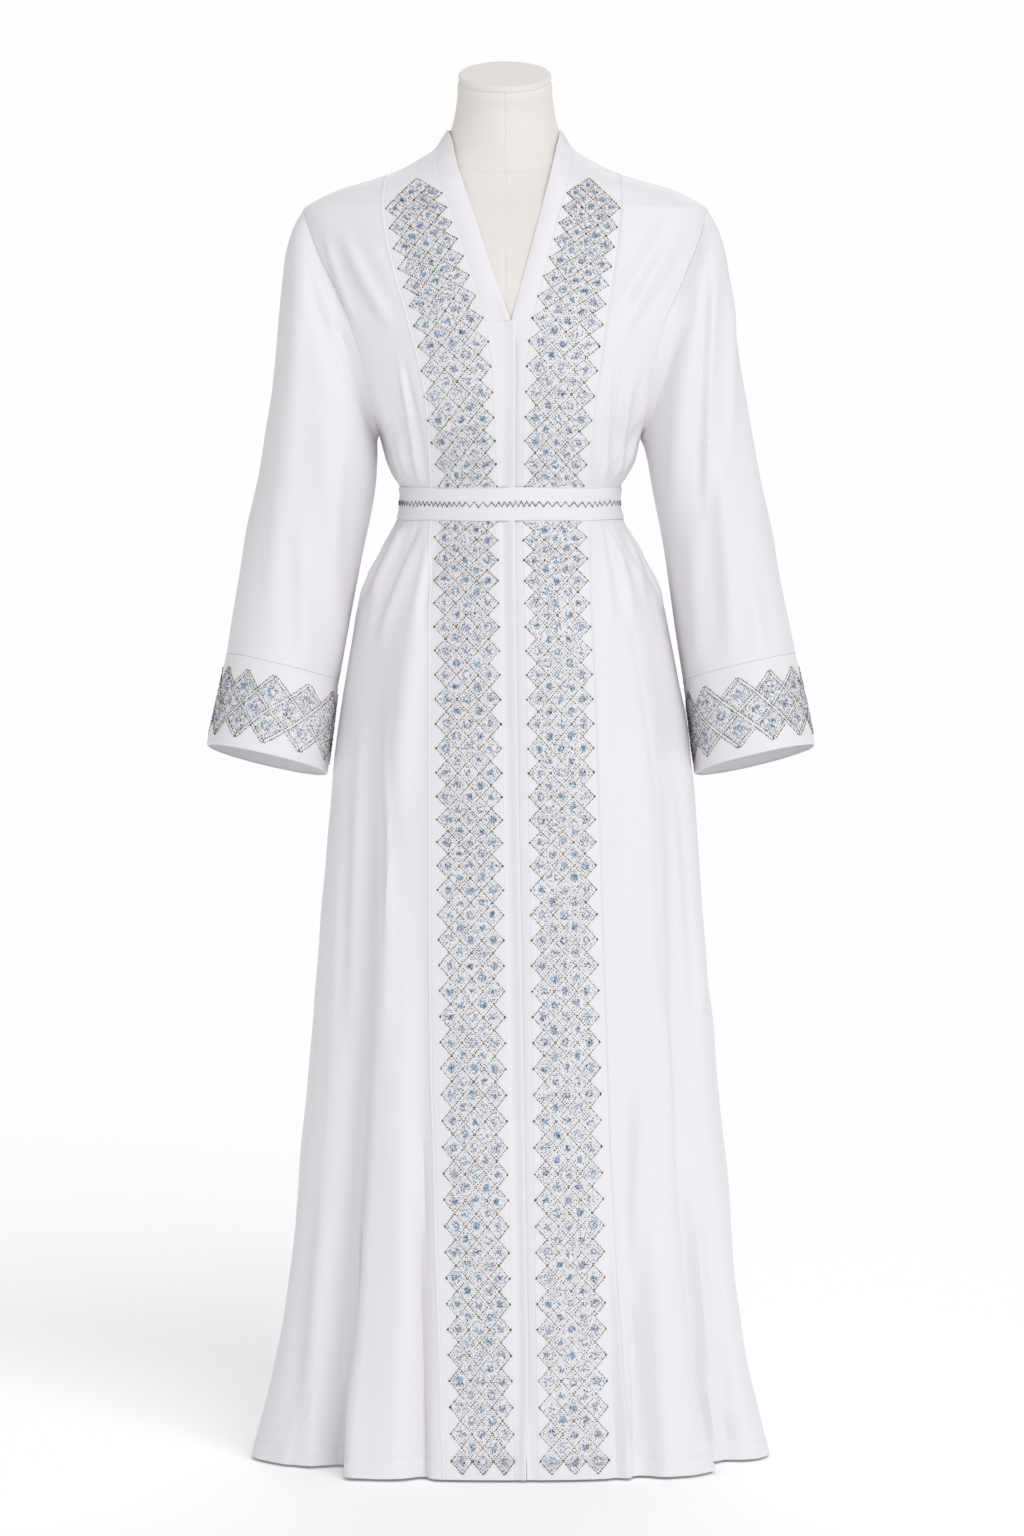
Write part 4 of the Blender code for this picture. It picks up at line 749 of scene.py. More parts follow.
def side_edge(z):
    """Front panels' outer edge for the wearer's left: side seam, armhole, then shoulder seam."""
    in_armhole = (z > UNDERARM_Z + CLOSE) & (z < SHOULDER_POINT_Z - CLOSE)
    return np.where(in_armhole, armhole_angle(z), QUARTER)


def shift_edge(points, normals, column, gap):
    """Moves an edge column into its panel, square to the seam."""
    edge = points[:, column]
    along = np.gradient(edge, axis=0)
    across = unit(np.cross(along, normals[:, column]))
    neighbour = points[:, 1] if column == 0 else points[:, -2]
    sign = np.sign(np.sum(across * (neighbour - edge), axis=-1, keepdims=True))
    points[:, column] = edge + across * np.where(sign == 0, 1, sign) * gap


def mirror_x(points, side, centre):
    """A sleeve's points on its own side of the centre line."""
    return np.stack([centre + side * points[..., 0], points[..., 1], points[..., 2]], axis=-1)


def sleeve_ring(row, phi, side, down):
    """Ring of a sleeve. phi 0 is its outer edge, 90 its front, 180 its inner, and down is 0 to 1."""
    power = 2 / SLEEVE_SQUARE
    cosine, sine = np.cos(phi), np.sin(phi)
    width = np.sign(cosine) * np.abs(cosine) ** power
    depth = np.where(sine > 0, -row["front"], row["back"]) * np.abs(sine) ** power
    middle = np.array([(row["outer_x"] + row["inner_x"]) / 2, 0, (row["outer_z"] + row["inner_z"]) / 2])
    reach = np.array([(row["outer_x"] - row["inner_x"]) / 2, 0, (row["outer_z"] - row["inner_z"]) / 2])
    points = middle + width[..., None] * reach + depth[..., None] * np.array([0, 1, -row["drop"]])
    lean = math.sin(math.pi * down)
    outer, inner = (low + (high - low) * down + most * lean
                    for (low, high), most in zip((SLEEVE_OUTER_CENTRE, SLEEVE_INNER_CENTRE), SLEEVE_LEAN))
    centre = 0.5 * (outer + inner) + 0.5 * (outer - inner) * width
    return mirror_x(points, side, centre)


def sleeve_row(index):
    """One ring's measures from the sleeve's table."""
    return {column: values[index] for column, values in SLEEVE.items()}


def grid_normals(points):
    """Outward normals of a tube whose rings run down its length."""
    around = np.roll(points, -1, axis=1) - np.roll(points, 1, axis=1)
    along = np.gradient(points, axis=0)
    normals = unit(np.cross(around, along))
    middle = points.mean(axis=1, keepdims=True)
    facing = np.sum(normals * (points - middle), axis=-1).sum()
    return normals if facing > 0 else -normals


def crease_relief(across, z, crease):
    """How far one crease moves the cloth, at places across and up or down it."""
    start, start_z, end, end_z, bow, width, height, furrow = crease
    run, rise = end - start, end_z - start_z
    length = math.hypot(run, rise)
    along = ((across - start) * run + (z - start_z) * rise) / length ** 2
    aside = ((z - start_z) * run - (across - start) * rise) / length - 4 * bow * along * (1 - along)
    ends = ease(along / CREASE_SOFT) * ease((1 - along) / CREASE_SOFT)
    ridge = height * mound(aside, width)
    beside = abs(furrow) * mound(aside - math.copysign(FURROW_PLACE * width, furrow), width)
    return ends * (ridge - beside)


def fine_gathers():
    """Finer gathers above and below the belt: ring angle, whether above, length, half width and height."""
    placed = np.random.default_rng(GATHER_SEED)
    rows = []
    for low, high in GATHERED:
        for above in (False, True):
            for i in range(FINE_GATHERS):
                place = i + 0.5 + placed.uniform(-FINE_STRAY, FINE_STRAY)
                angle = low + (high - low) * place / FINE_GATHERS
                rows.append((angle, above, placed.uniform(*FINE_LENGTHS), placed.uniform(*FINE_WIDTHS),
                             placed.uniform(*FINE_HEIGHTS)))
    return rows


GATHER_ROWS = fine_gathers()


def ring_radius(z):
    """Mean radius of the gown, which turns a length round it into an angle."""
    return 0.5 * (smooth(BODY, "half", z) + smooth(BODY, "back", z))


def round_creases(creases, degrees, z, radius_at, radius):
    """How far creases given by degrees and z at both ends move the cloth."""
    offset = np.zeros(np.shape(z))
    for start, start_z, end, end_z, *shape in creases:
        reach = math.radians(turn(end, start)) * float(radius_at(0.5 * (start_z + end_z)))
        across = np.radians(turn(degrees, start)) * radius
        offset += crease_relief(across, z, (0.0, start_z, reach, end_z, *shape))
    return offset


def fine_offset(angle, z, base):
    """How far the creases and finer gathers move the gown outwards."""
    degrees = np.degrees(angle)
    radius = ring_radius(z)
    facing = ease(np.cos(angle) / GOWN_FACING)
    offset = np.zeros(z.shape)
    for crease in FRONT_CREASES:
        offset += facing * crease_relief(base[..., 0], z, crease)
    offset += round_creases(BACK_CREASES, degrees, z, ring_radius, radius)
    for centre, above, length, width, height in GATHER_ROWS:
        away = (z - BELT_HIGH_Z) if above else (BELT_LOW_Z - z)
        along = ease(away / FINE_START) * ease((length - away) / length)
        spread = width * (1 + FINE_WIDENING * np.clip(away, 0, 1))
        offset += height * along * mound(np.radians(turn(degrees, centre)) * radius, spread)
    offset += SWELL * waves(z, angle, *SWELL_WAVES) + RIPPLE * waves(z, angle, *RIPPLE_WAVES)
    off_belt = np.maximum(z - BELT_HIGH_Z, BELT_LOW_Z - z)
    return offset * ease(off_belt / BELT_CLEAR)


def gown_point(angle, z, raised=0.0):
    """Point of the creased gown's outer face."""
    angle, z = np.broadcast_arrays(np.asarray(angle, float), np.asarray(z, float))
    base = surface(angle, z)
    offset = fine_offset(angle, z, base) + raised
    return base + offset[..., None] * outward(angle, z)


def gown_frame(angle, z):
    """Points of the creased gown's outer face and its normals there."""
    angle, z = np.broadcast_arrays(np.asarray(angle, float), np.asarray(z, float))
    turned = CREASED_STEP / ring_radius(z)
    around = gown_point(angle + turned, z) - gown_point(angle - turned, z)
    upward = gown_point(angle, z + CREASED_STEP) - gown_point(angle, z - CREASED_STEP)
    return gown_point(angle, z), unit(np.cross(around, upward))


def edge_relief(distance, ridge=SEAM_RIDGE):
    """Cloth rolled in at a seam, with a ridge beside it."""
    return ridge * mound(distance - RIDGE_PLACE, RIDGE_WIDTH) - SEAM_DIP * np.exp(-distance / SEAM_SOFT)


def hem_relief(z):
    """Turned-up hem with its stitching, rolled in at its end."""
    up = z - HEM_Z
    stitch = HEM_STITCH * mound(up - HEM_TURN, HEM_STITCH_WIDTH)
    return HEM_RISE * ease((HEM_TURN - up) / HEM_STEP) - stitch - HEM_ROLL * np.exp(-up / HEM_ROLL_WIDTH)


def gown_rows():
    """Heights of the gown's rows, close together at the hem, the armholes and the shoulders."""
    middle = 0.5 * (SHOULDER_POINT_Z + UNDERARM_Z)
    reach = 0.5 * (SHOULDER_POINT_Z - UNDERARM_Z)
    armhole = middle - reach * np.cos(math.pi * np.arange(ARMHOLE_STEPS + 1) / ARMHOLE_STEPS)
    low_shoulder = np.linspace(SHOULDER_POINT_Z, LONG_SEAM_TOP_Z - SEAM_END, LOW_SHOULDER_ROWS)[1:]
    high_shoulder = np.linspace(LONG_SEAM_TOP_Z + SEAM_END, NECK_SEAM_TOP_Z - SEAM_END, HIGH_SHOULDER_ROWS)
    return np.concatenate([HEM_Z + np.array(HEM_ROWS), np.arange(*SKIRT_ROWS), np.arange(*BODICE_ROWS),
                           armhole, low_shoulder, high_shoulder])


ROWS = gown_rows()


def rows_between(low, high):
    """The gown's rows between two heights, with both of them."""
    return ROWS[(ROWS > low - CLOSE) & (ROWS < high + CLOSE)]


def panel(rows, low_edge, high_edge, columns, thickness, rise=None, ridges=(SEAM_RIDGE, SEAM_RIDGE)):
    """Outer and inner grids of the cloth between two seams."""
    low, high = low_edge(rows)[:, None], high_edge(rows)[:, None]
    check = low + (high - low) * np.linspace(0, 1, WIDTH_CHECKS)[None, :]
    run = surface(check, np.broadcast_to(rows[:, None], check.shape))
    width = np.linalg.norm(np.diff(run, axis=1), axis=-1).sum(axis=1)[:, None]
    steps = np.array(EDGE_STEPS)[None, :]
    near = np.minimum(steps, NARROW_EDGE * width * steps / EDGE_STEPS[-1]) / width
    middle = near[:, -1:] + (1 - 2 * near[:, -1:]) * np.linspace(0, 1, columns + 1)[None, 1:-1]
    share = np.concatenate([near, middle, 1 - near[:, ::-1]], axis=1)
    angle = low + (high - low) * share
    z = np.broadcast_to(rows[:, None], angle.shape)
    from_low, from_high = share * width, (1 - share) * width
    raised = np.where(share < 0.5, edge_relief(from_low, ridges[0]), edge_relief(from_high, ridges[1]))
    raised = raised + hem_relief(z)
    if rise is not None:
        raised = raised + rise(from_low, from_high, z)
    points = gown_point(angle, z, raised)
    normals = gown_frame(angle, z)[1]
    shift_edge(points, normals, 0, SEAM_GAP / 2)
    shift_edge(points, normals, -1, SEAM_GAP / 2)
    return points, points - thickness * normals


def through(rings, at):
    """Smooth curve through a stack of rings, at lengths along their mean spacing."""
    steps = np.linalg.norm(np.diff(rings, axis=0), axis=-1).mean(axis=1)
    knots = np.concatenate([[0.0], np.cumsum(steps)])
    slopes = np.gradient(rings, knots, axis=0)
    at = np.asarray(at, float)
    i = np.clip(np.searchsorted(knots, at, side="right") - 1, 0, len(knots) - 2)
    span = (knots[i + 1] - knots[i])[:, None, None]
    t = (at - knots[i])[:, None, None] / span
    return curve(t, span, rings[i], rings[i + 1], slopes[i], slopes[i + 1])


def ring_length(rings):
    """Mean length along a stack of rings."""
    return float(np.linalg.norm(np.diff(rings, axis=0), axis=-1).mean(axis=1).sum())


def tube_rows(length, spacing):
    """Places along a tube, close together at both ends."""
    near = np.array(EDGE_STEPS)
    count = max(int((length - 2 * near[-1]) / spacing), 2)
    middle = np.linspace(near[-1], length - near[-1], count + 1)[1:-1]
    return np.concatenate([near, middle, length - near[::-1]])


def grid_faces(rows, columns, closed):
    """Corner numbers of a grid's faces."""
    reach = columns if closed else columns - 1
    i, j = np.meshgrid(np.arange(rows - 1), np.arange(reach), indexing="ij")
    k = (j + 1) % columns
    low, high = i * columns, (i + 1) * columns
    return np.stack([low + j, low + k, high + k, high + j], axis=-1).reshape(-1, 4)


def rim_faces(outer_line, inner_line, closed):
    """Faces between an edge of the outer grid and the same edge of the inner one."""
    a, b = outer_line, inner_line
    if not closed:
        return np.stack([a[:-1], b[:-1], b[1:], a[1:]], axis=-1)
    return np.stack([a, b, np.roll(b, -1), np.roll(a, -1)], axis=-1)


def add_mesh(name, points, faces, finishes, face_finish=None, sharp=SHARP_ANGLE):
    """Object from points and faces that all have the same number of corners."""
    data = bpy.data.meshes.new(name)
    corners = faces.shape[1]
    data.vertices.add(len(points))
    data.vertices.foreach_set("co", np.ascontiguousarray(points, np.float32).ravel())
    data.loops.add(faces.size)
    data.loops.foreach_set("vertex_index", np.ascontiguousarray(faces, np.int32).ravel())
    data.polygons.add(len(faces))
    data.polygons.foreach_set("loop_start", np.arange(len(faces), dtype=np.int32) * corners)
    data.polygons.foreach_set("loop_total", np.full(len(faces), corners, np.int32))
    for finish in finishes:
        data.materials.append(finish)
    if face_finish is not None:
        data.polygons.foreach_set("material_index", np.ascontiguousarray(face_finish, np.int32))
    data.update(calc_edges=True)
    data.validate()
    data.shade_smooth()
    if sharp:
        data.set_sharp_from_angle(angle=sharp)
    made = bpy.data.objects.new(name, data)
    bpy.context.scene.collection.objects.link(made)
    return made


def add_wall(name, outer, inner, finish, closed=False):
    """Closed wall of cloth between two grids of points, a tube when closed."""
    rows, columns = outer.shape[:2]
    count = rows * columns
    number = np.arange(count).reshape(rows, columns)
    top = grid_faces(rows, columns, closed)
    p = outer[rows // 2]
    facing = np.cross(p[1] - p[0], outer[rows // 2 + 1, 0] - p[0]) @ (p[0] - inner[rows // 2, 0])
    low = top[:, ::-1] + count
    rims = [rim_faces(number[0], number[0] + count, closed),
            rim_faces(number[-1], number[-1] + count, closed)[:, ::-1]]
    if not closed:
        rims += [rim_faces(number[:, 0], number[:, 0] + count, False)[:, ::-1],
                 rim_faces(number[:, -1], number[:, -1] + count, False)]
    faces = np.concatenate([top, low] + rims)
    if facing < 0:
        faces = faces[:, ::-1]
    return add_mesh(name, np.concatenate([outer.reshape(-1, 3), inner.reshape(-1, 3)]), faces, [finish])


def right_to_left(sign, inner, outer):
    """Two edges from the wearer's right to their left, given from the middle of the front outwards."""
    return (inner, outer)[::sign]


def long_edge(side, sign):
    """Centre front's outer edge: the long seam, then the shoulder seam above its end."""
    return lambda z: np.where(z > LONG_SEAM_TOP_Z, sign * QUARTER, seam(side + "_long")(z))


def slit(z):
    """How far the fronts fall open below the closing."""
    return ease((SLIT_TOP_Z - z) / SLIT_TOP_Z)


def right_closing(z):
    """Free edge of the wearer's right front, laid over the left one."""
    return seam("closing")(z) + (FRONT_OVERLAP - SLIT_RIGHT * slit(z)) / ring_radius(z)


def left_closing(z):
    """Free edge of the wearer's left front, under the right one."""
    return seam("closing")(z) + SLIT_LEFT * slit(z) / ring_radius(z)


def closing_edge(inwards):
    """Rise of the right front's rolled edge."""
    return OVERLAP_RISE * ease(1 - inwards / OVERLAP_RUN) - CLOSING_ROLL * np.exp(-inwards / ROLL_WIDTH)


def overlap_rise(from_low, from_high, z):
    """The right front's band stands up towards its free edge, which is rolled, with a hollow behind it."""
    hollow = CLOSING_HOLLOW * ease((V_POINT_Z - z) / HOLLOW_FADE)
    return closing_edge(from_high) - hollow * mound(from_high - HOLLOW_PLACE, HOLLOW_WIDTH)


def underlap_rise(from_low, from_high, z):
    """The left front's band sinks under the right one's edge."""
    beside, below_v = from_low - FRONT_OVERLAP, V_POINT_Z - z
    covered, open_width, wider = UNDERLAP_WIDTHS
    spread = np.where(beside < 0, covered, open_width + wider * ease(below_v / UNDERLAP_WIDENING))
    return -UNDERLAP_DIP * mound(beside, spread) * ease(below_v / UNDERLAP_FADE)


def sleeve_head(phi, side):
    """Ring angle and height of the armhole seam."""
    middle = 0.5 * (SHOULDER_POINT_Z + UNDERARM_Z)
    reach = 0.5 * (SHOULDER_POINT_Z - UNDERARM_Z)
    z = middle + reach * np.cos(phi)
    edge = armhole_angle(z)
    edge[(np.abs(z - SHOULDER_POINT_Z) < CLOSE) | (np.abs(z - UNDERARM_Z) < CLOSE)] = QUARTER
    return side * np.where(phi <= math.pi, edge, back_armhole_angle(z, edge)), z


def sleeve_points(side):
    """Outer and inner grids of a sleeve."""
    phi = 2 * math.pi * np.arange(2 * ARMHOLE_STEPS) / (2 * ARMHOLE_STEPS)
    rings = [gown_point(*sleeve_head(phi, side))]
    last = len(SLEEVE["outer_x"]) - 1
    for index in range(last + 1):
        rings.append(sleeve_ring(sleeve_row(index), phi, side, index / last))
    rings = np.stack(rings)
    down = tube_rows(ring_length(rings), SLEEVE_ROW)
    points = through(rings, down)
    normals = grid_normals(points)
    degrees = np.degrees(phi)[None, :] + 0 * down[:, None]
    along = np.broadcast_to(down[:, None], degrees.shape)
    facing = ease(np.sin(phi)[None, :] / SLEEVE_FACING)
    offset = np.zeros(along.shape)
    for crease in SLEEVE_CREASES["left" if side > 0 else "right"]:
        offset += facing * crease_relief(points[..., 0], points[..., 2], crease)
    offset += round_creases(SLEEVE_BACK_CREASES, degrees, along, lambda down: SLEEVE_RADIUS, SLEEVE_RADIUS)
    length = down[-1]
    ends = ease(along / SLEEVE_ENDS[0]) * ease((length - along) / SLEEVE_ENDS[1])
    swell = SLEEVE_SWELL * waves(along, phi, (*SLEEVE_RATES[0], side), (*SLEEVE_RATES[1], 0))
    offset = (offset + swell) * ends + edge_relief(np.minimum(along, length - along))
    points = points + offset[..., None] * normals
    normals = grid_normals(points)
    points[0] += SEAM_GAP / 2 * unit(points[1] - points[0])
    return points, points - WALL * normals


def cuff_point(side, phi, share, raised=0.0):
    """Points of a cuff's outer face, at phi round it and a share of its depth, and the normals there."""
    def at(turned):
        return (sleeve_ring(row, turned, side, 1.0) for row in (sleeve_row(-1), CUFF_END))

    phi, share = np.broadcast_arrays(np.asarray(phi, float), np.asarray(share, float))
    top, end = at(phi)
    points = top + (end - top) * share[..., None]
    ahead, behind = (t + (e - t) * share[..., None] for t, e in (at(phi + CUFF_STEP), at(phi - CUFF_STEP)))
    normals = side * unit(np.cross(ahead - behind, end - top))
    swell = CUFF_SWELL * np.sin(CUFF_SWELL_RATE * phi + side) * np.sin(math.pi * share)
    ripple = CUFF_RIPPLE * np.sin(CUFF_RIPPLE_RATE * phi - 2 * side)
    return points + (raised + (swell + ripple))[..., None] * normals, normals


def cuff_points(side):
    """Outer and inner grids of a cuff, with a row of stitching below its seam and one above its end."""
    phi = 2 * math.pi * np.arange(2 * ARMHOLE_STEPS) / (2 * ARMHOLE_STEPS)
    share = tube_rows(CUFF_DEPTH, CUFF_DEPTH / CUFF_ROWS) / CUFF_DEPTH
    share[0] = SEAM_END / CUFF_DEPTH
    phi, share = np.meshgrid(phi, share)
    down = share * CUFF_DEPTH
    raised = edge_relief(down) - CUFF_ROLL * np.exp(-(CUFF_DEPTH - down) / CUFF_ROLL_WIDTH)
    for line in CUFF_STITCHES:
        raised = raised - CUFF_STITCH * mound(down - line, CUFF_STITCH_WIDTH)
    points, normals = cuff_point(side, phi, share, raised)
    return points, points - BAND_WALL * normals


def neckband_points():
    """Outer and inner grids of the band from the V point round the back neck and down again."""
    front_z = np.linspace(V_POINT_Z, NECK_SEAM_TOP_Z, NECKBAND_FRONT)
    share = (front_z - V_POINT_Z) / (NECK_SEAM_TOP_Z - V_POINT_Z)
    edge_z = V_POINT_Z + share * (NECKBAND_TOP_Z - V_POINT_Z)
    right_seam, left_seam = seam("right_band")(front_z), seam("left_band")(front_z)
    right_edge = front_angle(smooth(NECK_EDGE, "right", edge_z), edge_z)
    left_edge = front_angle(smooth(NECK_EDGE, "left", edge_z), edge_z)
    right_seam[-1], right_edge[-1] = -QUARTER, -QUARTER
    left_seam[-1], left_edge[-1] = QUARTER, QUARTER
    back = np.linspace(QUARTER, 3 * QUARTER, NECKBAND_BACK)[1:-1]
    seam_angle = np.concatenate([left_seam, back, right_seam[::-1] + 2 * math.pi])
    edge_angle = np.concatenate([left_edge, back, right_edge[::-1] + 2 * math.pi])
    seam_z = np.concatenate([front_z, np.full(len(back), NECK_SEAM_TOP_Z - SEAM_END), front_z[::-1]])
    top_z = np.concatenate([edge_z, np.full(len(back), NECKBAND_TOP_Z), edge_z[::-1]])
    across = np.array(NECKBAND_ACROSS)[None, :]
    angle = seam_angle[:, None] * (1 - across) + edge_angle[:, None] * across
    z = seam_z[:, None] * (1 - across) + top_z[:, None] * across
    raised = NECKBAND_RISE * np.sin(math.pi * across) * ease((z - V_POINT_Z) / NECKBAND_START)
    raised = raised - SEAM_DIP * (np.exp(-across / NECKBAND_SOFT) + np.exp(-(1 - across) / NECKBAND_SOFT))
    laid_over = (angle < 0) | (angle > math.pi)
    rolled = ease((V_POINT_Z + NECKBAND_ROLLED - z) / NECKBAND_ROLLED)
    raised = raised + laid_over * closing_edge(NECKBAND_WIDTH * (1 - across)) * rolled
    points = gown_point(angle, z, raised)
    normals = gown_frame(angle, z)[1]
    shift_edge(points, normals, 0, SEAM_GAP / 2)
    points[0, :, 2] += SEAM_GAP
    points[-1, :, 2] += SEAM_GAP
    return points, points - BAND_WALL * normals


def belt_point(angle, share, raised=0.0):
    """Points of the belt's outer face, from its lower edge at share 0 to its upper one, and the normals."""
    angle, share = np.broadcast_arrays(np.asarray(angle, float), np.asarray(share, float))
    low_wave, high_wave = (BELT_EDGE_WAVE * np.sin(rate * angle) for rate in BELT_EDGE_RATES)
    low = BELT_LOW_Z + low_wave
    high = BELT_HIGH_Z + BELT_TOP_WAVE * np.sin(BELT_TOP_RATE * angle + 1) + high_wave
    z = low + (high - low) * share
    across = 2 * share - 1
    pillow = BELT_RISE * (1 - np.abs(across) ** BELT_FLATNESS) + LAID_GAP + BELT_LIFT
    slack = BELT_SLACK * np.sin(BELT_SLACK_RATES[0] * angle + BELT_SLACK_RATES[1] * across)
    slack = slack * (1 - across ** 2)
    normals = outward(angle, z)
    return surface(angle, z) + (pillow + slack + raised)[..., None] * normals, normals


def belt_points():
    """Outer and inner grids of the belt, with creases that come and go along it."""
    angle, share = np.meshgrid(2 * math.pi * np.arange(BELT_COLUMNS) / BELT_COLUMNS, BELT_ACROSS)
    crease = 0.0
    for centre, width, depth in BELT_CREASES:
        wave = np.sin(CREASES_RATE[0] * angle + CREASES_RATE[1] * centre)
        crease = crease - depth * mound(share - centre, width) * (CREASES_COME[0] + CREASES_COME[1] * wave)
    points = belt_point(angle, share, crease)[0]
    z = points[..., 2]
    return points, surface(angle, z) + LAID_GAP * outward(angle, z)


def form_points():
    """Rings of the torso and neck, finer where they show, with the seams sunk in."""
    even = 2 * math.pi * np.arange(2, FORM_SIDES - 1) / FORM_SIDES
    angle = np.concatenate([np.radians(FORM_SEAM_COLUMNS), even])
    rings = np.stack(torso_rings(angle))
    length = ring_length(rings)
    place = np.concatenate([[0], np.cumsum(np.linalg.norm(np.diff(rings, axis=0), axis=-1).mean(axis=1))])
    shown, seam_low = (place[FORM_ROWS.index(height)] for height in (FORM_SHOWN_Z, FORM_SEAM_BAND[0]))
    seam_high = place[len(FORM_ROWS) + 1]
    at = np.concatenate([np.linspace(0, shown, FORM_HIDDEN_ROWS)[:-1],
                         np.linspace(shown, seam_low, FORM_OPEN_ROWS)[:-1],
                         np.arange(seam_low, seam_high, FORM_SEAM_ROW),
                         np.linspace(seam_high, length, FORM_OPEN_ROWS)])
    points = through(rings, at)
    x, y, z = (points[..., axis] for axis in range(3))
    dip = np.clip(np.cos(angle), 0, 1) ** FORM_SEAM_CURVE
    neck_seam = FORM_SEAM_SIDE_Z + (FORM_SEAM_FRONT_Z - FORM_SEAM_SIDE_Z) * dip
    neck = NECK_GROOVE_SHARE * mound(z - neck_seam[None, :], NECK_GROOVE_WIDTH)
    front = mound(x - CAP_CENTRE[0], FRONT_GROOVE_WIDTH) * (z > FRONT_GROOVE_Z) * (y < 0)
    offset = -FORM_GROOVE * np.maximum(neck, front)
    return points + offset[..., None] * grid_normals(points)


def add_loft(name, rings, finish):
    """Closed solid through rings, with a fan at both ends."""
    rows, columns = rings.shape[:2]
    points = np.concatenate([rings.reshape(-1, 3), rings[:1].mean(axis=1), rings[-1:].mean(axis=1)])
    quads = grid_faces(rows, columns, True)
    sides = np.concatenate([quads[:, [0, 1, 2]], quads[:, [0, 2, 3]]])
    j = np.arange(columns)
    k = (j + 1) % columns
    low = np.stack([k, j, np.full(columns, rows * columns)], axis=-1)
    top = (rows - 1) * columns
    high = np.stack([top + j, top + k, np.full(columns, rows * columns + 1)], axis=-1)
    return add_mesh(name, points, np.concatenate([sides, low, high]), [finish])


def bead_shape(sides, levels):
    """Points and faces of a bead: rings of corners between two ends, from (height, radius) levels."""
    points = [(0, 0, levels[0][0])]
    for height, radius in levels[1:-1]:
        for i in range(sides):
            turned = 2 * math.pi * i / sides
            points.append((radius * math.cos(turned), radius * math.sin(turned), height))
    points.append((0, 0, levels[-1][0]))
    faces = []
    rings = len(levels) - 2
    for i in range(sides):
        k = (i + 1) % sides
        faces.append((0, 1 + k, 1 + i))
        for ring in range(rings - 1):
            a, b = 1 + ring * sides, 1 + (ring + 1) * sides
            faces += [(a + i, a + k, b + k), (a + i, b + k, b + i)]
        last = 1 + (rings - 1) * sides
        faces.append((last + i, last + k, len(points) - 1))
    return np.array(points, float), np.array(faces)


# Bead shapes: corner places in bead radii, with the third one away from the cloth, and the faces.
BEAD_SHAPES = {
    "tiny": (np.array([(1, 0, -0.55), (0, 1, -0.55), (-1, 0, -0.55), (0, -1, -0.55), (0, 0, 0.75)], float),
             np.array([(0, 1, 4), (1, 2, 4), (2, 3, 4), (3, 0, 4), (0, 3, 2), (0, 2, 1)])),
    "seed": bead_shape(6, ((-0.7, 0), (0.0, 1.0), (0.85, 0))),
}
# Kinds of beads, in the order of their finishes: shape, roughness, metallic, and how much they differ in
# lightness as a share of the setting.
BEAD_KINDS = {
    "taupe": ("tiny", 0.30, 0.3, 1.0), "dark": ("tiny", 0.28, 0.3, 1.0), "clear": ("tiny", 0.12, 0.0, 0.3),
    "silver": ("tiny", 0.22, 0.7, 1.0), "pearl": ("tiny", 0.25, 0.0, 0.3), "sky": ("seed", 0.15, 0.0, 1.0),
    "blue": ("seed", 0.15, 0.0, 1.0), "navy": ("seed", 0.20, 0.1, 1.0), "beige": ("tiny", 0.28, 0.2, 1.0),
}
# A direction that no normal has, to lay the beads' sides by, and a share just below 1.
BEAD_ASKEW = (0.13, 0.31, 0.94)
BELOW_ONE = 0.999999


def string_beads(name, sown):
    """One object from lists of (kind, places, normals, radii), with a finish for each kind of bead."""
    all_points, all_faces, all_finish = [], [], []
    count = 0
    for kind, places, normals, radii in sown:
        corners, faces = BEAD_SHAPES[BEAD_KINDS[kind][0]]
        side = unit(np.cross(normals, BEAD_ASKEW))
        other = np.cross(normals, side)
        axes = np.stack([side, other, normals], axis=1)
        centres = places + BEAD_SUNK * radii[:, None] * normals
        points = centres[:, None, :] + radii[:, None, None] * np.einsum("vc,ncd->nvd", corners, axes)
        numbers = faces[None] + (count + len(corners) * np.arange(len(places)))[:, None, None]
        count += points.shape[0] * points.shape[1]
        all_points.append(points.reshape(-1, 3))
        all_faces.append(numbers.reshape(-1, 3))
        all_finish.append(np.full(len(places) * len(faces), list(BEAD_KINDS).index(kind)))
    finishes = [bead_finish(kind) for kind in BEAD_KINDS]
    return add_mesh(name, np.concatenate(all_points), np.concatenate(all_faces), finishes,
                    np.concatenate(all_finish), sharp=None)


def lattice_sides(diamonds, around):
    """Sides of the diamonds, each once: start and end in half diamonds along and across."""
    sides = set()
    for row, column in diamonds:
        below = (row - 1) % around if around else row - 1
        for s in (-1, 1):
            sides.update(((below, column, s), (row, column + s, -s)))
    sides = np.array(sorted(sides), float)
    return sides[:, :2], sides[:, :2] + np.stack([np.ones(len(sides)), sides[:, 2]], axis=1)


def mixed(draws, mix):
    """Bead kinds drawn in the shares of a mix."""
    return np.array(list(mix))[np.searchsorted(np.cumsum(list(mix.values())), draws * BELOW_ONE)]


def sorted_beads(points, normals, kinds, radii):
    """Beads put together by their kind."""
    return [(str(kind), points[kinds == kind], normals[kinds == kind], radii[kinds == kind])
            for kind in np.unique(kinds)]


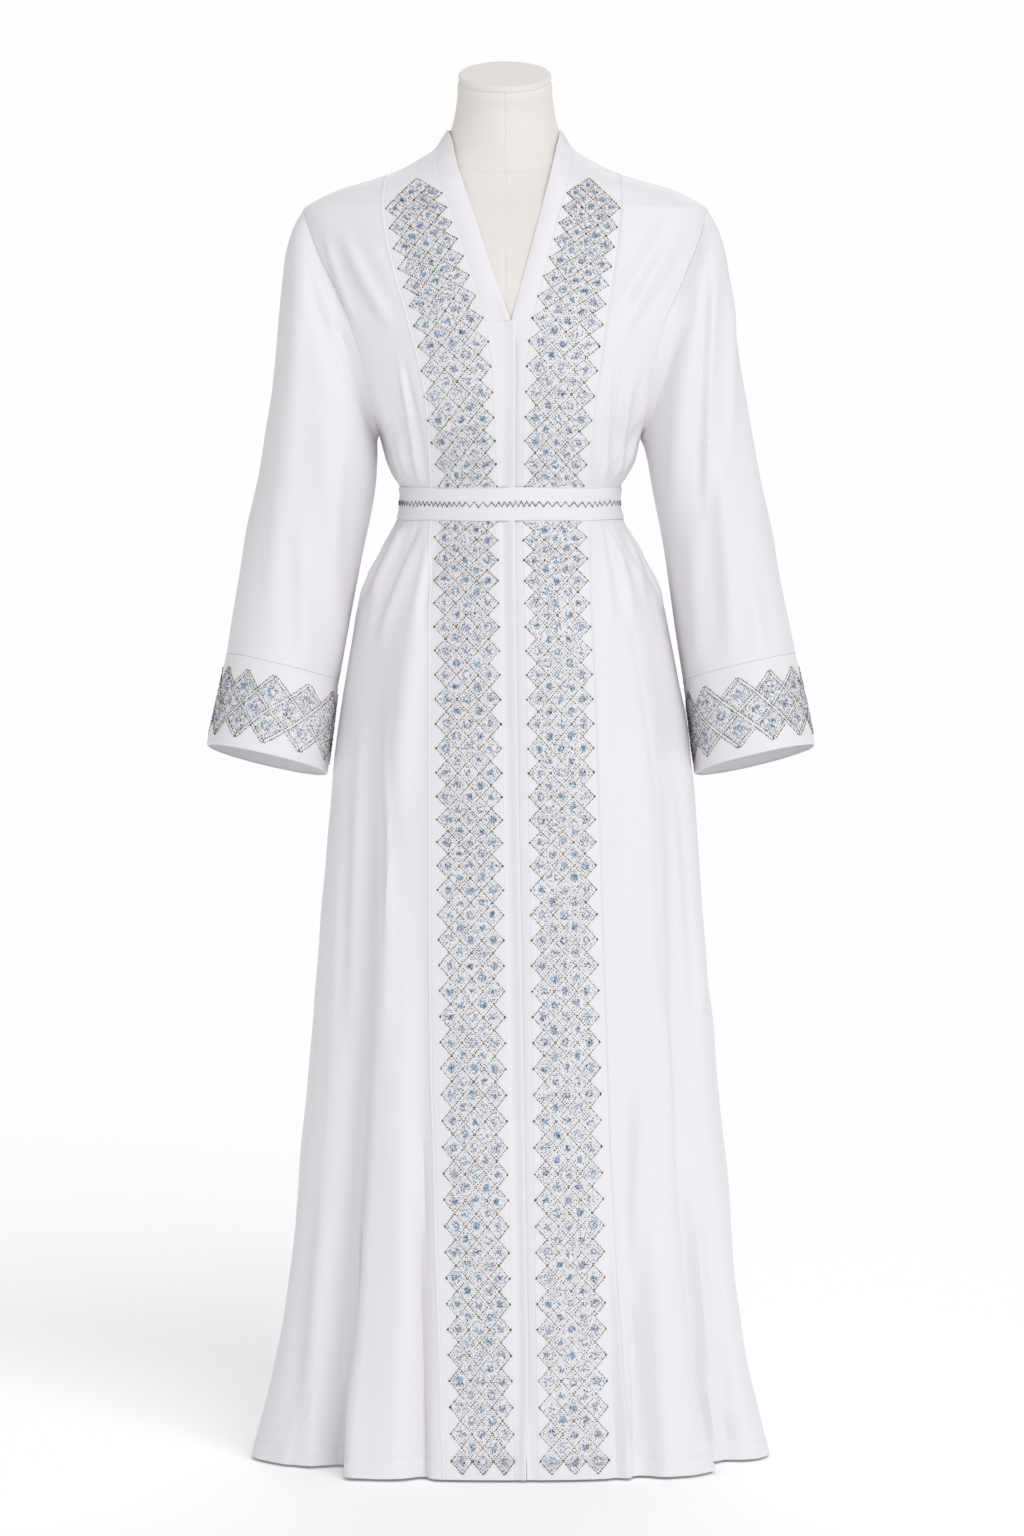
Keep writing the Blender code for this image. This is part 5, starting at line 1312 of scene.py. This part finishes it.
def sew_lattice(name, place, diamonds, columns, around, sewing, between, seed):
    """Beads of a diamond lattice. place turns half diamonds along and across into points and normals."""
    draw = np.random.default_rng(seed)
    sown = []

    def sow(along, across, mix, radius, bare=None):
        kept = np.ones(along.shape, bool) if bare is None else draw.uniform(size=along.shape) > bare
        along, across = along[kept], across[kept]
        points, normals = place(along, across)
        shown = (points[:, 2] > between[0]) & (points[:, 2] < between[1])
        points = points[shown] + draw.uniform(-1, 1, (shown.sum(), 3)) * BEAD_STRAY
        kinds = mixed(draw.uniform(size=len(points)), MIXES[mix])
        radii = radius * draw.uniform(*BEAD_SIZES, len(points))
        sown.extend(sorted_beads(points, normals[shown], kinds, radii))

    start, end = lattice_sides(diamonds, around)
    share = (np.arange(sewing["side"]) + 0.5) / sewing["side"]
    for rim in (False, True):
        middle = 0.5 * (start[:, 1] + end[:, 1])
        chosen = (np.minimum(middle, columns - middle) < 1) == rim
        along = start[chosen, :1] + (end[chosen, :1] - start[chosen, :1]) * share
        across = start[chosen, 1:] + (end[chosen, 1:] - start[chosen, 1:]) * share
        lean = end[chosen, 1:] - start[chosen, 1:]
        for beside in sorted({-sewing["apart"], sewing["apart"]}):
            sow(along - beside * lean, across + beside, "rim" if rim else sewing["line"], sewing["bead"])
    middles = np.array(diamonds, float)
    for edge in (0, columns):
        tips = middles[np.abs(middles[:, 1] - edge) == 1, 0]
        sow(tips, np.full(len(tips), float(edge)), "rim", BEAD_TIP)

    bare = sewing["bare"] * draw.uniform(size=(len(middles), 1)) ** 2
    ends = np.array([(1, 0), (0, 1), (-1, 0), (0, -1), (1, 0)], float)
    for scale, count, mix in sewing["rows"]:
        corner = (np.arange(count) + 0.5) * 4 / count
        side, part = np.floor(corner).astype(int), (corner % 1)[:, None]
        step = scale * (ends[side] * (1 - part) + ends[side + 1] * part)
        sow(middles[:, :1] + step[:, 0], middles[:, 1:] + step[:, 1], mix, BEAD_FILL,
            bare + INNER_BARER * (1 - scale) * bare)
    aside = draw.uniform(-HEART_STRAY, HEART_STRAY, middles.shape)
    size = draw.uniform(*HEART_SIZES, (len(middles), 1))
    for count, reach in sewing["heart"]:
        turned = 2 * math.pi * np.arange(count) / count + draw.uniform(0, 2, (len(middles), 1))
        along = middles[:, :1] + (aside[:, :1] + size * reach * np.cos(turned)) / sewing["half"][0]
        across = middles[:, 1:] + (aside[:, 1:] + size * reach * np.sin(turned)) / sewing["half"][1]
        sow(along, across, "heart", BEAD_HEART, HEART_BARE + HEART_BARER * bare)
    return string_beads(name, sown)


def flat_ring(angle, z, centre_x, half, front, back, centre_y=0.0):
    """Level ring of the form, two half ellipses."""
    y = centre_y - np.where(np.cos(angle) > 0, front, back) * np.cos(angle)
    return np.stack([centre_x + half * np.sin(angle), y, np.full(len(angle), z)], axis=-1)


def torso_rings(angle):
    """Rings of the form: inside the gown up to the shoulders, then the neck with its tilted top.

    It is slimmer at the hips, and beside the armholes it ends in a smooth side plate.
    """
    rings = []
    for z in FORM_ROWS:
        inset = CLOTH + FORM_GAP
        beside_arms = UNDERARM_Z - CLOSE < z < SHOULDER_POINT_Z + CLOSE
        if z > SHOULDER_POINT_Z and not beside_arms:
            rings.append(surface(angle, z) - (CLOTH + FORM_SHOULDER_GAP) * outward(angle, z))
            continue
        if beside_arms:
            half = float(smooth(ARMHOLE, "half", z)) - 2 * inset
        else:
            slim = min(max((FORM_HIP_Z - z) / (FORM_HIP_Z - FORM_BOTTOM_Z), 0), 1) ** 0.5
            inset += FORM_HIP_GAP * slim
            half = float(smooth(BODY, "half", z)) - inset
        centre, front, back = (float(smooth(BODY, column, z)) for column in ("centre", "front", "back"))
        rings.append(flat_ring(angle, z, centre, half, front - inset, back - inset))
    for z, half, front, back in zip(*FORM_NECK.values()):
        depth = 0.5 * (back - front)
        rings.append(flat_ring(angle, z, CAP_CENTRE[0], half, depth, depth, 0.5 * (front + back)))
    for below, radius in zip(*FORM_NECK_TOP.values()):
        rings.append(tilted_ring(angle, CAP_THICKNESS + SEAM_END + below, radius))
    return rings


def tilted_ring(angle, below, radius):
    """Ring square to the neck's tilted top, at a depth below it."""
    normal = np.array([0, -math.sin(FORM_TILT), math.cos(FORM_TILT)])
    forward = np.array([0, -math.cos(FORM_TILT), -math.sin(FORM_TILT)])
    across = np.sin(angle)[:, None] * np.array([1, 0, 0]) + np.cos(angle)[:, None] * forward
    return np.array(CAP_CENTRE) - below * normal + radius * across


def cap_points():
    """Rings of the neck cap, with a rolled edge and a slightly domed top."""
    angle = 2 * math.pi * np.arange(FORM_SIDES) / FORM_SIDES
    return np.stack([tilted_ring(angle, below + CAP_DOME, radius) for below, radius in CAP_RINGS])


def new_group(name, inputs, outputs):
    """Shader node group with named sockets, and its input and output nodes."""
    group = bpy.data.node_groups.new(name, "ShaderNodeTree")
    for label, kind, value in inputs:
        group.interface.new_socket(label, in_out="INPUT", socket_type=kind).default_value = value
    for label, kind in outputs:
        group.interface.new_socket(label, in_out="OUTPUT", socket_type=kind)
    return group, group.nodes.new("NodeGroupInput"), group.nodes.new("NodeGroupOutput")


def add_node(tree, kind, **values):
    """Shader node with some of its inputs set."""
    made = tree.nodes.new("ShaderNode" + kind)
    for label, value in values.items():
        made.inputs[label.replace("_", " ")].default_value = value
    return made


def join(tree, *pairs):
    """Links pairs of sockets."""
    for source, target in pairs:
        tree.links.new(source, target)


def fine_weave_group():
    """Height of a fine crepe grain with a faint weave in it."""
    group, given, result = new_group(
        "fine_weave", [("Scale", "NodeSocketFloat", 900.0), ("Grain", "NodeSocketFloat", 0.6)],
        [("Height", "NodeSocketFloat")])
    place = add_node(group, "TexCoord")
    grain = add_node(group, "TexNoise", Detail=2.0)
    weave = add_node(group, "TexVoronoi")
    mix = add_node(group, "Mix")
    for texture in (grain, weave):
        join(group, (place.outputs["Object"], texture.inputs["Vector"]),
             (given.outputs["Scale"], texture.inputs["Scale"]))
    join(group, (given.outputs["Grain"], mix.inputs["Factor"]),
         (weave.outputs["Distance"], mix.inputs["A"]), (grain.outputs["Fac"], mix.inputs["B"]),
         (mix.outputs["Result"], result.inputs["Height"]))
    return group


def cloth_shade_group():
    """Base colour with a very slight, large drift towards a second shade."""
    group, given, result = new_group(
        "cloth_shade", [("Colour", "NodeSocketColor", WHITE), ("Shade", "NodeSocketColor", WHITE),
                        ("Scale", "NodeSocketFloat", 6.0)], [("Colour", "NodeSocketColor")])
    place = add_node(group, "TexCoord")
    drift = add_node(group, "TexNoise", Detail=3.0)
    mix = add_node(group, "Mix")
    mix.data_type = "RGBA"
    first, second = (socket for socket in mix.inputs if socket.name in "AB" and socket.type == "RGBA")
    mixed_colour = next(socket for socket in mix.outputs if socket.type == "RGBA")
    join(group, (place.outputs["Object"], drift.inputs["Vector"]),
         (given.outputs["Scale"], drift.inputs["Scale"]), (drift.outputs["Fac"], mix.inputs["Factor"]),
         (given.outputs["Colour"], first), (given.outputs["Shade"], second),
         (mixed_colour, result.inputs["Colour"]))
    return group


def bead_tint_group():
    """Bead colour, a little lighter or darker from one bead to the next."""
    group, given, result = new_group(
        "bead_tint", [("Colour", "NodeSocketColor", WHITE), ("Spread", "NodeSocketFloat", 0.3)],
        [("Colour", "NodeSocketColor")])
    place = add_node(group, "TexCoord")
    cells = add_node(group, "TexVoronoi", Scale=BEAD_CELLS)
    part = add_node(group, "SeparateColor")
    low = add_node(group, "Math")
    low.operation = "SUBTRACT"
    low.inputs[0].default_value = 1.0
    level = add_node(group, "MapRange", To_Max=1.0)
    scale = add_node(group, "VectorMath")
    scale.operation = "SCALE"
    join(group, (place.outputs["Object"], cells.inputs["Vector"]),
         (cells.outputs["Color"], part.inputs["Color"]), (part.outputs["Red"], level.inputs["Value"]),
         (given.outputs["Spread"], low.inputs[1]), (low.outputs["Value"], level.inputs["To Min"]),
         (given.outputs["Colour"], scale.inputs["Vector"]), (level.outputs["Result"], scale.inputs["Scale"]),
         (scale.outputs["Vector"], result.inputs["Colour"]))
    return group


GROUP_MAKERS = {"fine_weave": fine_weave_group, "cloth_shade": cloth_shade_group,
                "bead_tint": bead_tint_group}


def place_group(tree, name, **values):
    """A shared group placed in a material with its own values, built the first time it is asked for."""
    placed = tree.nodes.new("ShaderNodeGroup")
    placed.node_tree = bpy.data.node_groups.get(name) or GROUP_MAKERS[name]()
    for label, value in values.items():
        placed.inputs[label].default_value = value
    return placed


def plain_finish(name, colour, roughness, metallic=0.0):
    """Material with one colour, and its main shader."""
    made = bpy.data.materials.new(name)
    made.use_nodes = True
    shader = made.node_tree.nodes["Principled BSDF"]
    for label, value in (("Base Color", (*colour, 1.0)), ("Roughness", roughness), ("Metallic", metallic)):
        shader.inputs[label].default_value = value
    return made, shader


def woven_finish(name, colour, shade, roughness, sheen, grain):
    """Cloth: a colour that drifts a little and a fine grain, with a soft sheen."""
    if name in bpy.data.materials:
        return bpy.data.materials[name]
    made, shader = plain_finish(name, colour, roughness)
    tree = made.node_tree
    drift = place_group(tree, "cloth_shade", Colour=(*colour, 1.0), Shade=(*shade, 1.0))
    weave = place_group(tree, "fine_weave", Scale=grain[0])
    relief = add_node(tree, "Bump", Distance=grain[1], Strength=GRAIN_STRENGTH)
    shader.inputs["Sheen Weight"].default_value = sheen
    shader.inputs["Sheen Roughness"].default_value = SHEEN_ROUGHNESS
    join(tree, (drift.outputs["Colour"], shader.inputs["Base Color"]),
         (weave.outputs["Height"], relief.inputs["Height"]),
         (relief.outputs["Normal"], shader.inputs["Normal"]))
    return made


def crepe():
    """Finish of all the gown's cloth."""
    cloth = bpy.context.scene.abaya_cloth
    return woven_finish("white_crepe", cloth.colour, cloth.shade, cloth.roughness, cloth.sheen, CREPE_GRAIN)


def bead_finish(name):
    """Finish of one kind of bead, built the first time it is asked for."""
    finish = bpy.data.materials.get("beads_" + name)
    if finish is None:
        beads = bpy.context.scene.abaya_beads
        colour = getattr(beads, name)
        roughness, metallic, spread = BEAD_KINDS[name][1:]
        finish, shader = plain_finish("beads_" + name, colour, roughness, metallic)
        tree = finish.node_tree
        tint = place_group(tree, "bead_tint", Colour=(*colour, 1.0), Spread=beads.spread * spread)
        join(tree, (tint.outputs["Colour"], shader.inputs["Base Color"]))
    return finish


def settle(piece, slot, *nodes):
    """Puts a piece in place of its nodes, on the part's one body."""
    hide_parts(*nodes)
    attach(piece, "root")
    return piece


def hang_panel(node, grids, closed=False):
    """Wall of cloth in place of a node."""
    piece = settle(add_wall("look_" + node, *grids, crepe(), closed), "cloth", node)
    return piece


def sew_front(side, name, table, seed):
    """Beaded lattice of one front, above or below the belt, which cuts across its last diamonds."""
    columns = 2 * DIAMONDS_ACROSS

    def place(along, across):
        share = across / columns
        x, z = (smooth(table, side + "_inner_" + axis, along / 2, "diamond") * (1 - share)
                + smooth(table, side + "_outer_" + axis, along / 2, "diamond") * share for axis in "xz")
        points, normals = gown_frame(front_angle(x, z), z)
        lift = HEM_LIFT * ease((HEM_TURN + HEM_STEP / 2 - z + HEM_Z) / HEM_STEP)
        return points + normals * lift[..., None], normals

    if name == "bodice":
        rows, between = range(0, TOP_DIAMOND_ROW + 1), (BELT_HIGH_Z + BELT_CUT, CAP_CENTRE[2])
    else:
        rows, between = range(1, 2 * int(table["diamond"][-1])), (0, BELT_LOW_Z - BELT_CUT)
    diamonds = [(row, column) for row in rows for column in range(1, columns)
                if (row + column) % 2 == 0 and (name == "skirt" or row + column <= TOP_SLANT)]
    node = "beading_" + name + "_" + side
    sewing = LIGHT_SEWING if (side, name) == ("left", "skirt") else FRONT_SEWING
    piece = sew_lattice("look_" + node, place, diamonds, columns, None, sewing, between, seed)
    return settle(piece, "beading", node)


def sew_cuff(side, sign, seed):
    """Beaded lattice round one cuff."""
    columns, around = 4, 2 * (len(CUFF_TIPS["diamond"]) - 1)

    def place(along, across):
        share = CUFF_BEADING_TOP + (CUFF_BEADING_BOTTOM - CUFF_BEADING_TOP) * across / columns
        degrees = smooth(CUFF_TIPS, side, along / 2, "diamond") - CUFF_TURNED[side] * (1 - across / 2)
        return cuff_point(sign, np.radians(degrees), share)

    diamonds = [(row, column) for row in range(around) for column in range(1, columns)
                if (row + column) % 2]
    node = "beading_cuff_" + side
    piece = sew_lattice("look_" + node, place, diamonds, columns, around, CUFF_SEWING, (0, 2), seed)
    return settle(piece, "beading", node)


def colour_field(label, description, default):
    return FloatVectorProperty(name=label, description=description, subtype="COLOR", default=default,
                               min=0, max=1)


def share_field(label, description, default):
    return FloatProperty(name=label, description=description, subtype="FACTOR", default=default,
                         min=0, max=1)


def strength_field(label, description, default):
    return FloatProperty(name=label, description=description, default=default, min=0, max=20)


class ClothSettings(bpy.types.PropertyGroup):
    """Colours and surface of the white crepe."""
    colour: colour_field("Colour", "Colour of the crepe", (0.830, 0.813, 0.842))
    shade: colour_field("Shade", "Second shade that the crepe drifts to", (0.808, 0.791, 0.822))
    roughness: share_field("Roughness", "Roughness of the crepe", 0.48)
    sheen: share_field("Sheen", "Weight of the crepe's sheen", 0.12)


class BeadSettings(bpy.types.PropertyGroup):
    """Colours of the beads."""
    taupe: colour_field("Taupe", "Beads of the lattice's lines", (0.21, 0.172, 0.142))
    beige: colour_field("Beige", "Lighter beads of the lattice's lines", (0.48, 0.415, 0.35))
    dark: colour_field("Dark", "Dark beads of the lines and tips", (0.065, 0.056, 0.052))
    clear: colour_field("Clear", "Clear beads", (0.86, 0.89, 0.93))
    silver: colour_field("Silver", "Silver beads", (0.33, 0.35, 0.39))
    pearl: colour_field("Pearl", "White beads", (0.93, 0.925, 0.92))
    sky: colour_field("Light blue", "Light blue beads", (0.43, 0.60, 0.80))
    blue: colour_field("Blue", "Blue beads", (0.20, 0.35, 0.58))
    navy: colour_field("Navy", "Dark blue beads", (0.055, 0.085, 0.13))
    spread: share_field("Spread", "How far beads of one kind differ in lightness", 0.35)


class FormSettings(bpy.types.PropertyGroup):
    """Colours of the dress form and its stand."""
    colour: colour_field("Cover", "Colour of the form's woven cover", (0.825, 0.788, 0.757))
    steel: colour_field("Steel", "Colour of the pole and base", (0.62, 0.62, 0.63))


class StageSettings(bpy.types.PropertyGroup):
    """Floor and lights."""
    floor: colour_field("Floor", "Colour of the floor", (1.0, 1.0, 1.0))
    ambient: strength_field("Ambient", "Strength of the light from all round", 0.52)
    key: strength_field("Key light", "Strength of the main light", 1.24)
    fill: strength_field("Back light", "Strength of the light from behind", 0.52)
    softness: FloatProperty(name="Softness", description="How wide both lights are", subtype="ANGLE",
                            unit="ROTATION", default=math.radians(42), min=0, max=math.pi)


class BuildFronts(bpy.types.Operator):
    """Builds the front bands, the beaded centre fronts and the side fronts"""
    bl_idname = "abaya.build_fronts"
    bl_label = "Fronts"

    def execute(self, context):
        below_v = rows_between(HEM_Z, V_POINT_Z)
        to_neck = rows_between(HEM_Z, NECK_SEAM_TOP_Z)
        to_long_top = rows_between(HEM_Z, LONG_SEAM_TOP_Z)
        for side, sign in SIDES:
            closing = {"left": left_closing, "right": right_closing}[side]
            rise = {"left": underlap_rise, "right": overlap_rise}[side]
            band, long = seam(side + "_band"), long_edge(side, sign)
            edges = right_to_left(sign, closing, band)
            hang_panel("front_band_" + side, panel(below_v, *edges, BAND_COLUMNS, BAND_WALL, rise))
            beading = [sew_front(side, "bodice", BODICE_BEADING, BODICE_SEED + sign),
                       sew_front(side, "skirt", SKIRT_BEADING, SKIRT_SEED + sign)]
            edges = right_to_left(sign, band, long)
            hang_panel("centre_front_" + side, panel(to_neck, *edges, CENTRE_COLUMNS, WALL))
            edges = right_to_left(sign, long, lambda z, sign=sign: sign * side_edge(z))
            ridges = right_to_left(sign, PIPED_RIDGE, SEAM_RIDGE)
            hang_panel("side_front_" + side, panel(to_long_top, *edges, SIDE_COLUMNS, WALL, ridges=ridges))
        return {"FINISHED"}


class BuildBack(bpy.types.Operator):
    """Builds the back, from side seam to side seam"""
    bl_idname = "abaya.build_back"
    bl_label = "Back"

    def execute(self, context):
        def low(z):
            front = side_edge(z)
            return np.where(front > QUARTER - CLOSE, QUARTER, back_armhole_angle(z, front))

        def high(z):
            return 2 * math.pi - low(z)

        rows = rows_between(HEM_Z, NECK_SEAM_TOP_Z)
        hang_panel("back", panel(rows, low, high, BACK_COLUMNS, WALL))
        return {"FINISHED"}


class BuildNeckband(bpy.types.Operator):
    """Builds the band of the V neck and back neck"""
    bl_idname = "abaya.build_neckband"
    bl_label = "Neckband"

    def execute(self, context):
        hang_panel("neckband", neckband_points())
        return {"FINISHED"}


class BuildSleeves(bpy.types.Operator):
    """Builds the sleeves"""
    bl_idname = "abaya.build_sleeves"
    bl_label = "Sleeves"

    def execute(self, context):
        for side, sign in SIDES:
            hang_panel("sleeve_" + side, sleeve_points(sign), closed=True)
        return {"FINISHED"}


class BuildCuffs(bpy.types.Operator):
    """Builds the deep cuffs and their beading"""
    bl_idname = "abaya.build_cuffs"
    bl_label = "Cuffs"

    def execute(self, context):
        for side, sign in SIDES:
            beading = sew_cuff(side, sign, CUFF_SEED + sign)
            hang_panel("cuff_" + side, cuff_points(sign), closed=True)
        return {"FINISHED"}


class BuildBelt(bpy.types.Operator):
    """Builds the belt and its zigzag of beads"""
    bl_idname = "abaya.build_belt"
    bl_label = "Belt"

    def execute(self, context):
        turned = np.linspace(0, 2 * math.pi, ZIGZAG_PLACES)
        run = np.linalg.norm(np.diff(belt_point(turned, 0.5)[0], axis=0), axis=-1)
        first, second = (np.sin(rate * turned[1:] + start) for rate, start in CHANGES_BY)
        tight = ease(0.5 + ZIGZAG_CHANGE * first * second)
        wave = ZIGZAG_WAVES[0] + (ZIGZAG_WAVES[1] - ZIGZAG_WAVES[0]) * tight
        step = np.concatenate([[0], np.cumsum(run / wave)])
        step *= round(step[-1]) / step[-1]
        length = np.concatenate([[0], np.cumsum(np.hypot(run, 4 * ZIGZAG_RISE * np.diff(step)))])
        angle = np.interp(np.arange(0, length[-1], ZIGZAG_SPACING), length, turned)
        part = np.interp(angle, turned, step) % 1
        first, second = (np.sin(rate * angle + start) for rate, start in UNEVEN_BY)
        rise = ZIGZAG_RISE * (1 + ZIGZAG_UNEVEN * first * second) * (4 * np.abs(part - 0.5) - 1)
        points, normals = belt_point(angle, 0.5 + rise / (BELT_HIGH_Z - BELT_LOW_Z))
        draw = np.random.default_rng(BELT_SEED)
        kinds = mixed(draw.uniform(size=len(angle)), MIXES["belt"])
        sown = sorted_beads(points, normals, kinds, BEAD_BELT * draw.uniform(*BEAD_SIZES, len(angle)))
        beads = string_beads("look_belt_beads", sown)
        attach(beads, "root")
        hang_panel("belt", belt_points(), closed=True)
        return {"FINISHED"}


class BuildForm(bpy.types.Operator):
    """Builds the dress form's torso and neck cap, and finishes its pole and base"""
    bl_idname = "abaya.build_form"
    bl_label = "Dress form"

    def execute(self, context):
        form = context.scene.abaya_form
        cover = woven_finish("canvas_cover", form.colour, tuple(COVER_SHADE * c for c in form.colour),
                             COVER_ROUGHNESS, COVER_SHEEN, COVER_GRAIN)
        settle(add_loft("look_form_torso", form_points(), cover), "form_cover", "form_torso")
        settle(add_loft("look_form_neck_cap", cap_points(), cover), "form_cover", "form_neck_cap")
        steel = plain_finish("stand_steel", form.steel, STEEL_ROUGHNESS, 1.0)[0]
        for name in ("form_pole", "form_base"):
            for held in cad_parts[name].material_slots:
                held.material = steel
        return {"FINISHED"}


class BuildStage(bpy.types.Operator):
    """Sets up the floor, the lights and the camera"""
    bl_idname = "abaya.build_stage"
    bl_label = "Stage"

    def execute(self, context):
        stage = context.scene.abaya_stage
        corners = np.array([(-1, -1, 0), (1, -1, 0), (1, 1, 0), (-1, 1, 0)]) * FLOOR_HALF
        floor, shader = plain_finish("floor", stage.floor, FLOOR_ROUGHNESS)
        for label, value in (("Specular IOR Level", 0.0), ("Emission Color", WHITE),
                             ("Emission Strength", FLOOR_GLOW)):
            shader.inputs[label].default_value = value
        add_mesh("floor", corners, np.array([[0, 1, 2, 3]]), [floor], sharp=None)
        for name, strength, place in (("key", stage.key, KEY_PLACE),
                                      ("back_light", stage.fill, BACK_LIGHT_PLACE)):
            light = bpy.data.lights.new(name, "SUN")
            light.energy = strength
            light.angle = stage.softness
            lamp = bpy.data.objects.new(name, light)
            lamp.location = place
            lamp.rotation_euler = (Vector(LIGHTS_AIM) - Vector(place)).to_track_quat("-Z", "Y").to_euler()
            context.scene.collection.objects.link(lamp)
        world = bpy.data.worlds.new("studio")
        world.use_nodes = True
        tree = world.node_tree
        tree.nodes.clear()
        ambient = add_node(tree, "Background", Color=WHITE, Strength=stage.ambient)
        backdrop = add_node(tree, "Background", Color=WHITE, Strength=BACKDROP)
        path = add_node(tree, "LightPath")
        mix, result = add_node(tree, "MixShader"), add_node(tree, "OutputWorld")
        join(tree, (path.outputs["Is Camera Ray"], mix.inputs["Fac"]),
             (ambient.outputs["Background"], mix.inputs[1]), (backdrop.outputs["Background"], mix.inputs[2]),
             (mix.outputs["Shader"], result.inputs["Surface"]))
        context.scene.world = world
        context.scene.view_settings.view_transform = "Standard"
        eye = bpy.data.cameras.new("camera")
        eye.lens = CAMERA_LENS
        eye.clip_end = CAMERA_REACH
        camera = bpy.data.objects.new("camera", eye)
        camera.location = CAMERA_PLACE
        camera.rotation_euler = (math.radians(90 - CAMERA_DIP), 0, 0)
        context.scene.collection.objects.link(camera)
        context.scene.camera = camera
        return {"FINISHED"}


class AbayaPanel(bpy.types.Panel):
    """Lists the abaya's pieces and settings in the sidebar."""
    bl_idname = "ABAYA_PT_pieces"
    bl_label = "Closed abaya"
    bl_space_type = "VIEW_3D"
    bl_region_type = "UI"
    bl_category = "Abaya"

    def draw(self, context):
        for piece in PIECES:
            self.layout.operator(piece.bl_idname)
        for name, group in SETTINGS.items():
            box = self.layout.box()
            for field in group.__annotations__:
                box.prop(getattr(context.scene, name), field)


PIECES = (BuildStage, BuildForm, BuildFronts, BuildBack, BuildNeckband, BuildSleeves, BuildCuffs, BuildBelt)
SETTINGS = {"abaya_cloth": ClothSettings, "abaya_beads": BeadSettings, "abaya_form": FormSettings,
            "abaya_stage": StageSettings}


def register():
    for made in (*SETTINGS.values(), *PIECES, AbayaPanel):
        bpy.utils.register_class(made)
    for name, group in SETTINGS.items():
        setattr(bpy.types.Scene, name, PointerProperty(type=group))


def unregister():
    for name in SETTINGS:
        delattr(bpy.types.Scene, name)
    for made in (AbayaPanel, *reversed(PIECES), *reversed(SETTINGS.values())):
        bpy.utils.unregister_class(made)


def main():
    register()
    bpy.ops.abaya.build_stage()
    bpy.ops.abaya.build_form()
    bpy.ops.abaya.build_fronts()
    bpy.ops.abaya.build_back()
    bpy.ops.abaya.build_neckband()
    bpy.ops.abaya.build_sleeves()
    bpy.ops.abaya.build_cuffs()
    bpy.ops.abaya.build_belt()


if __name__ == "__main__":
    main()
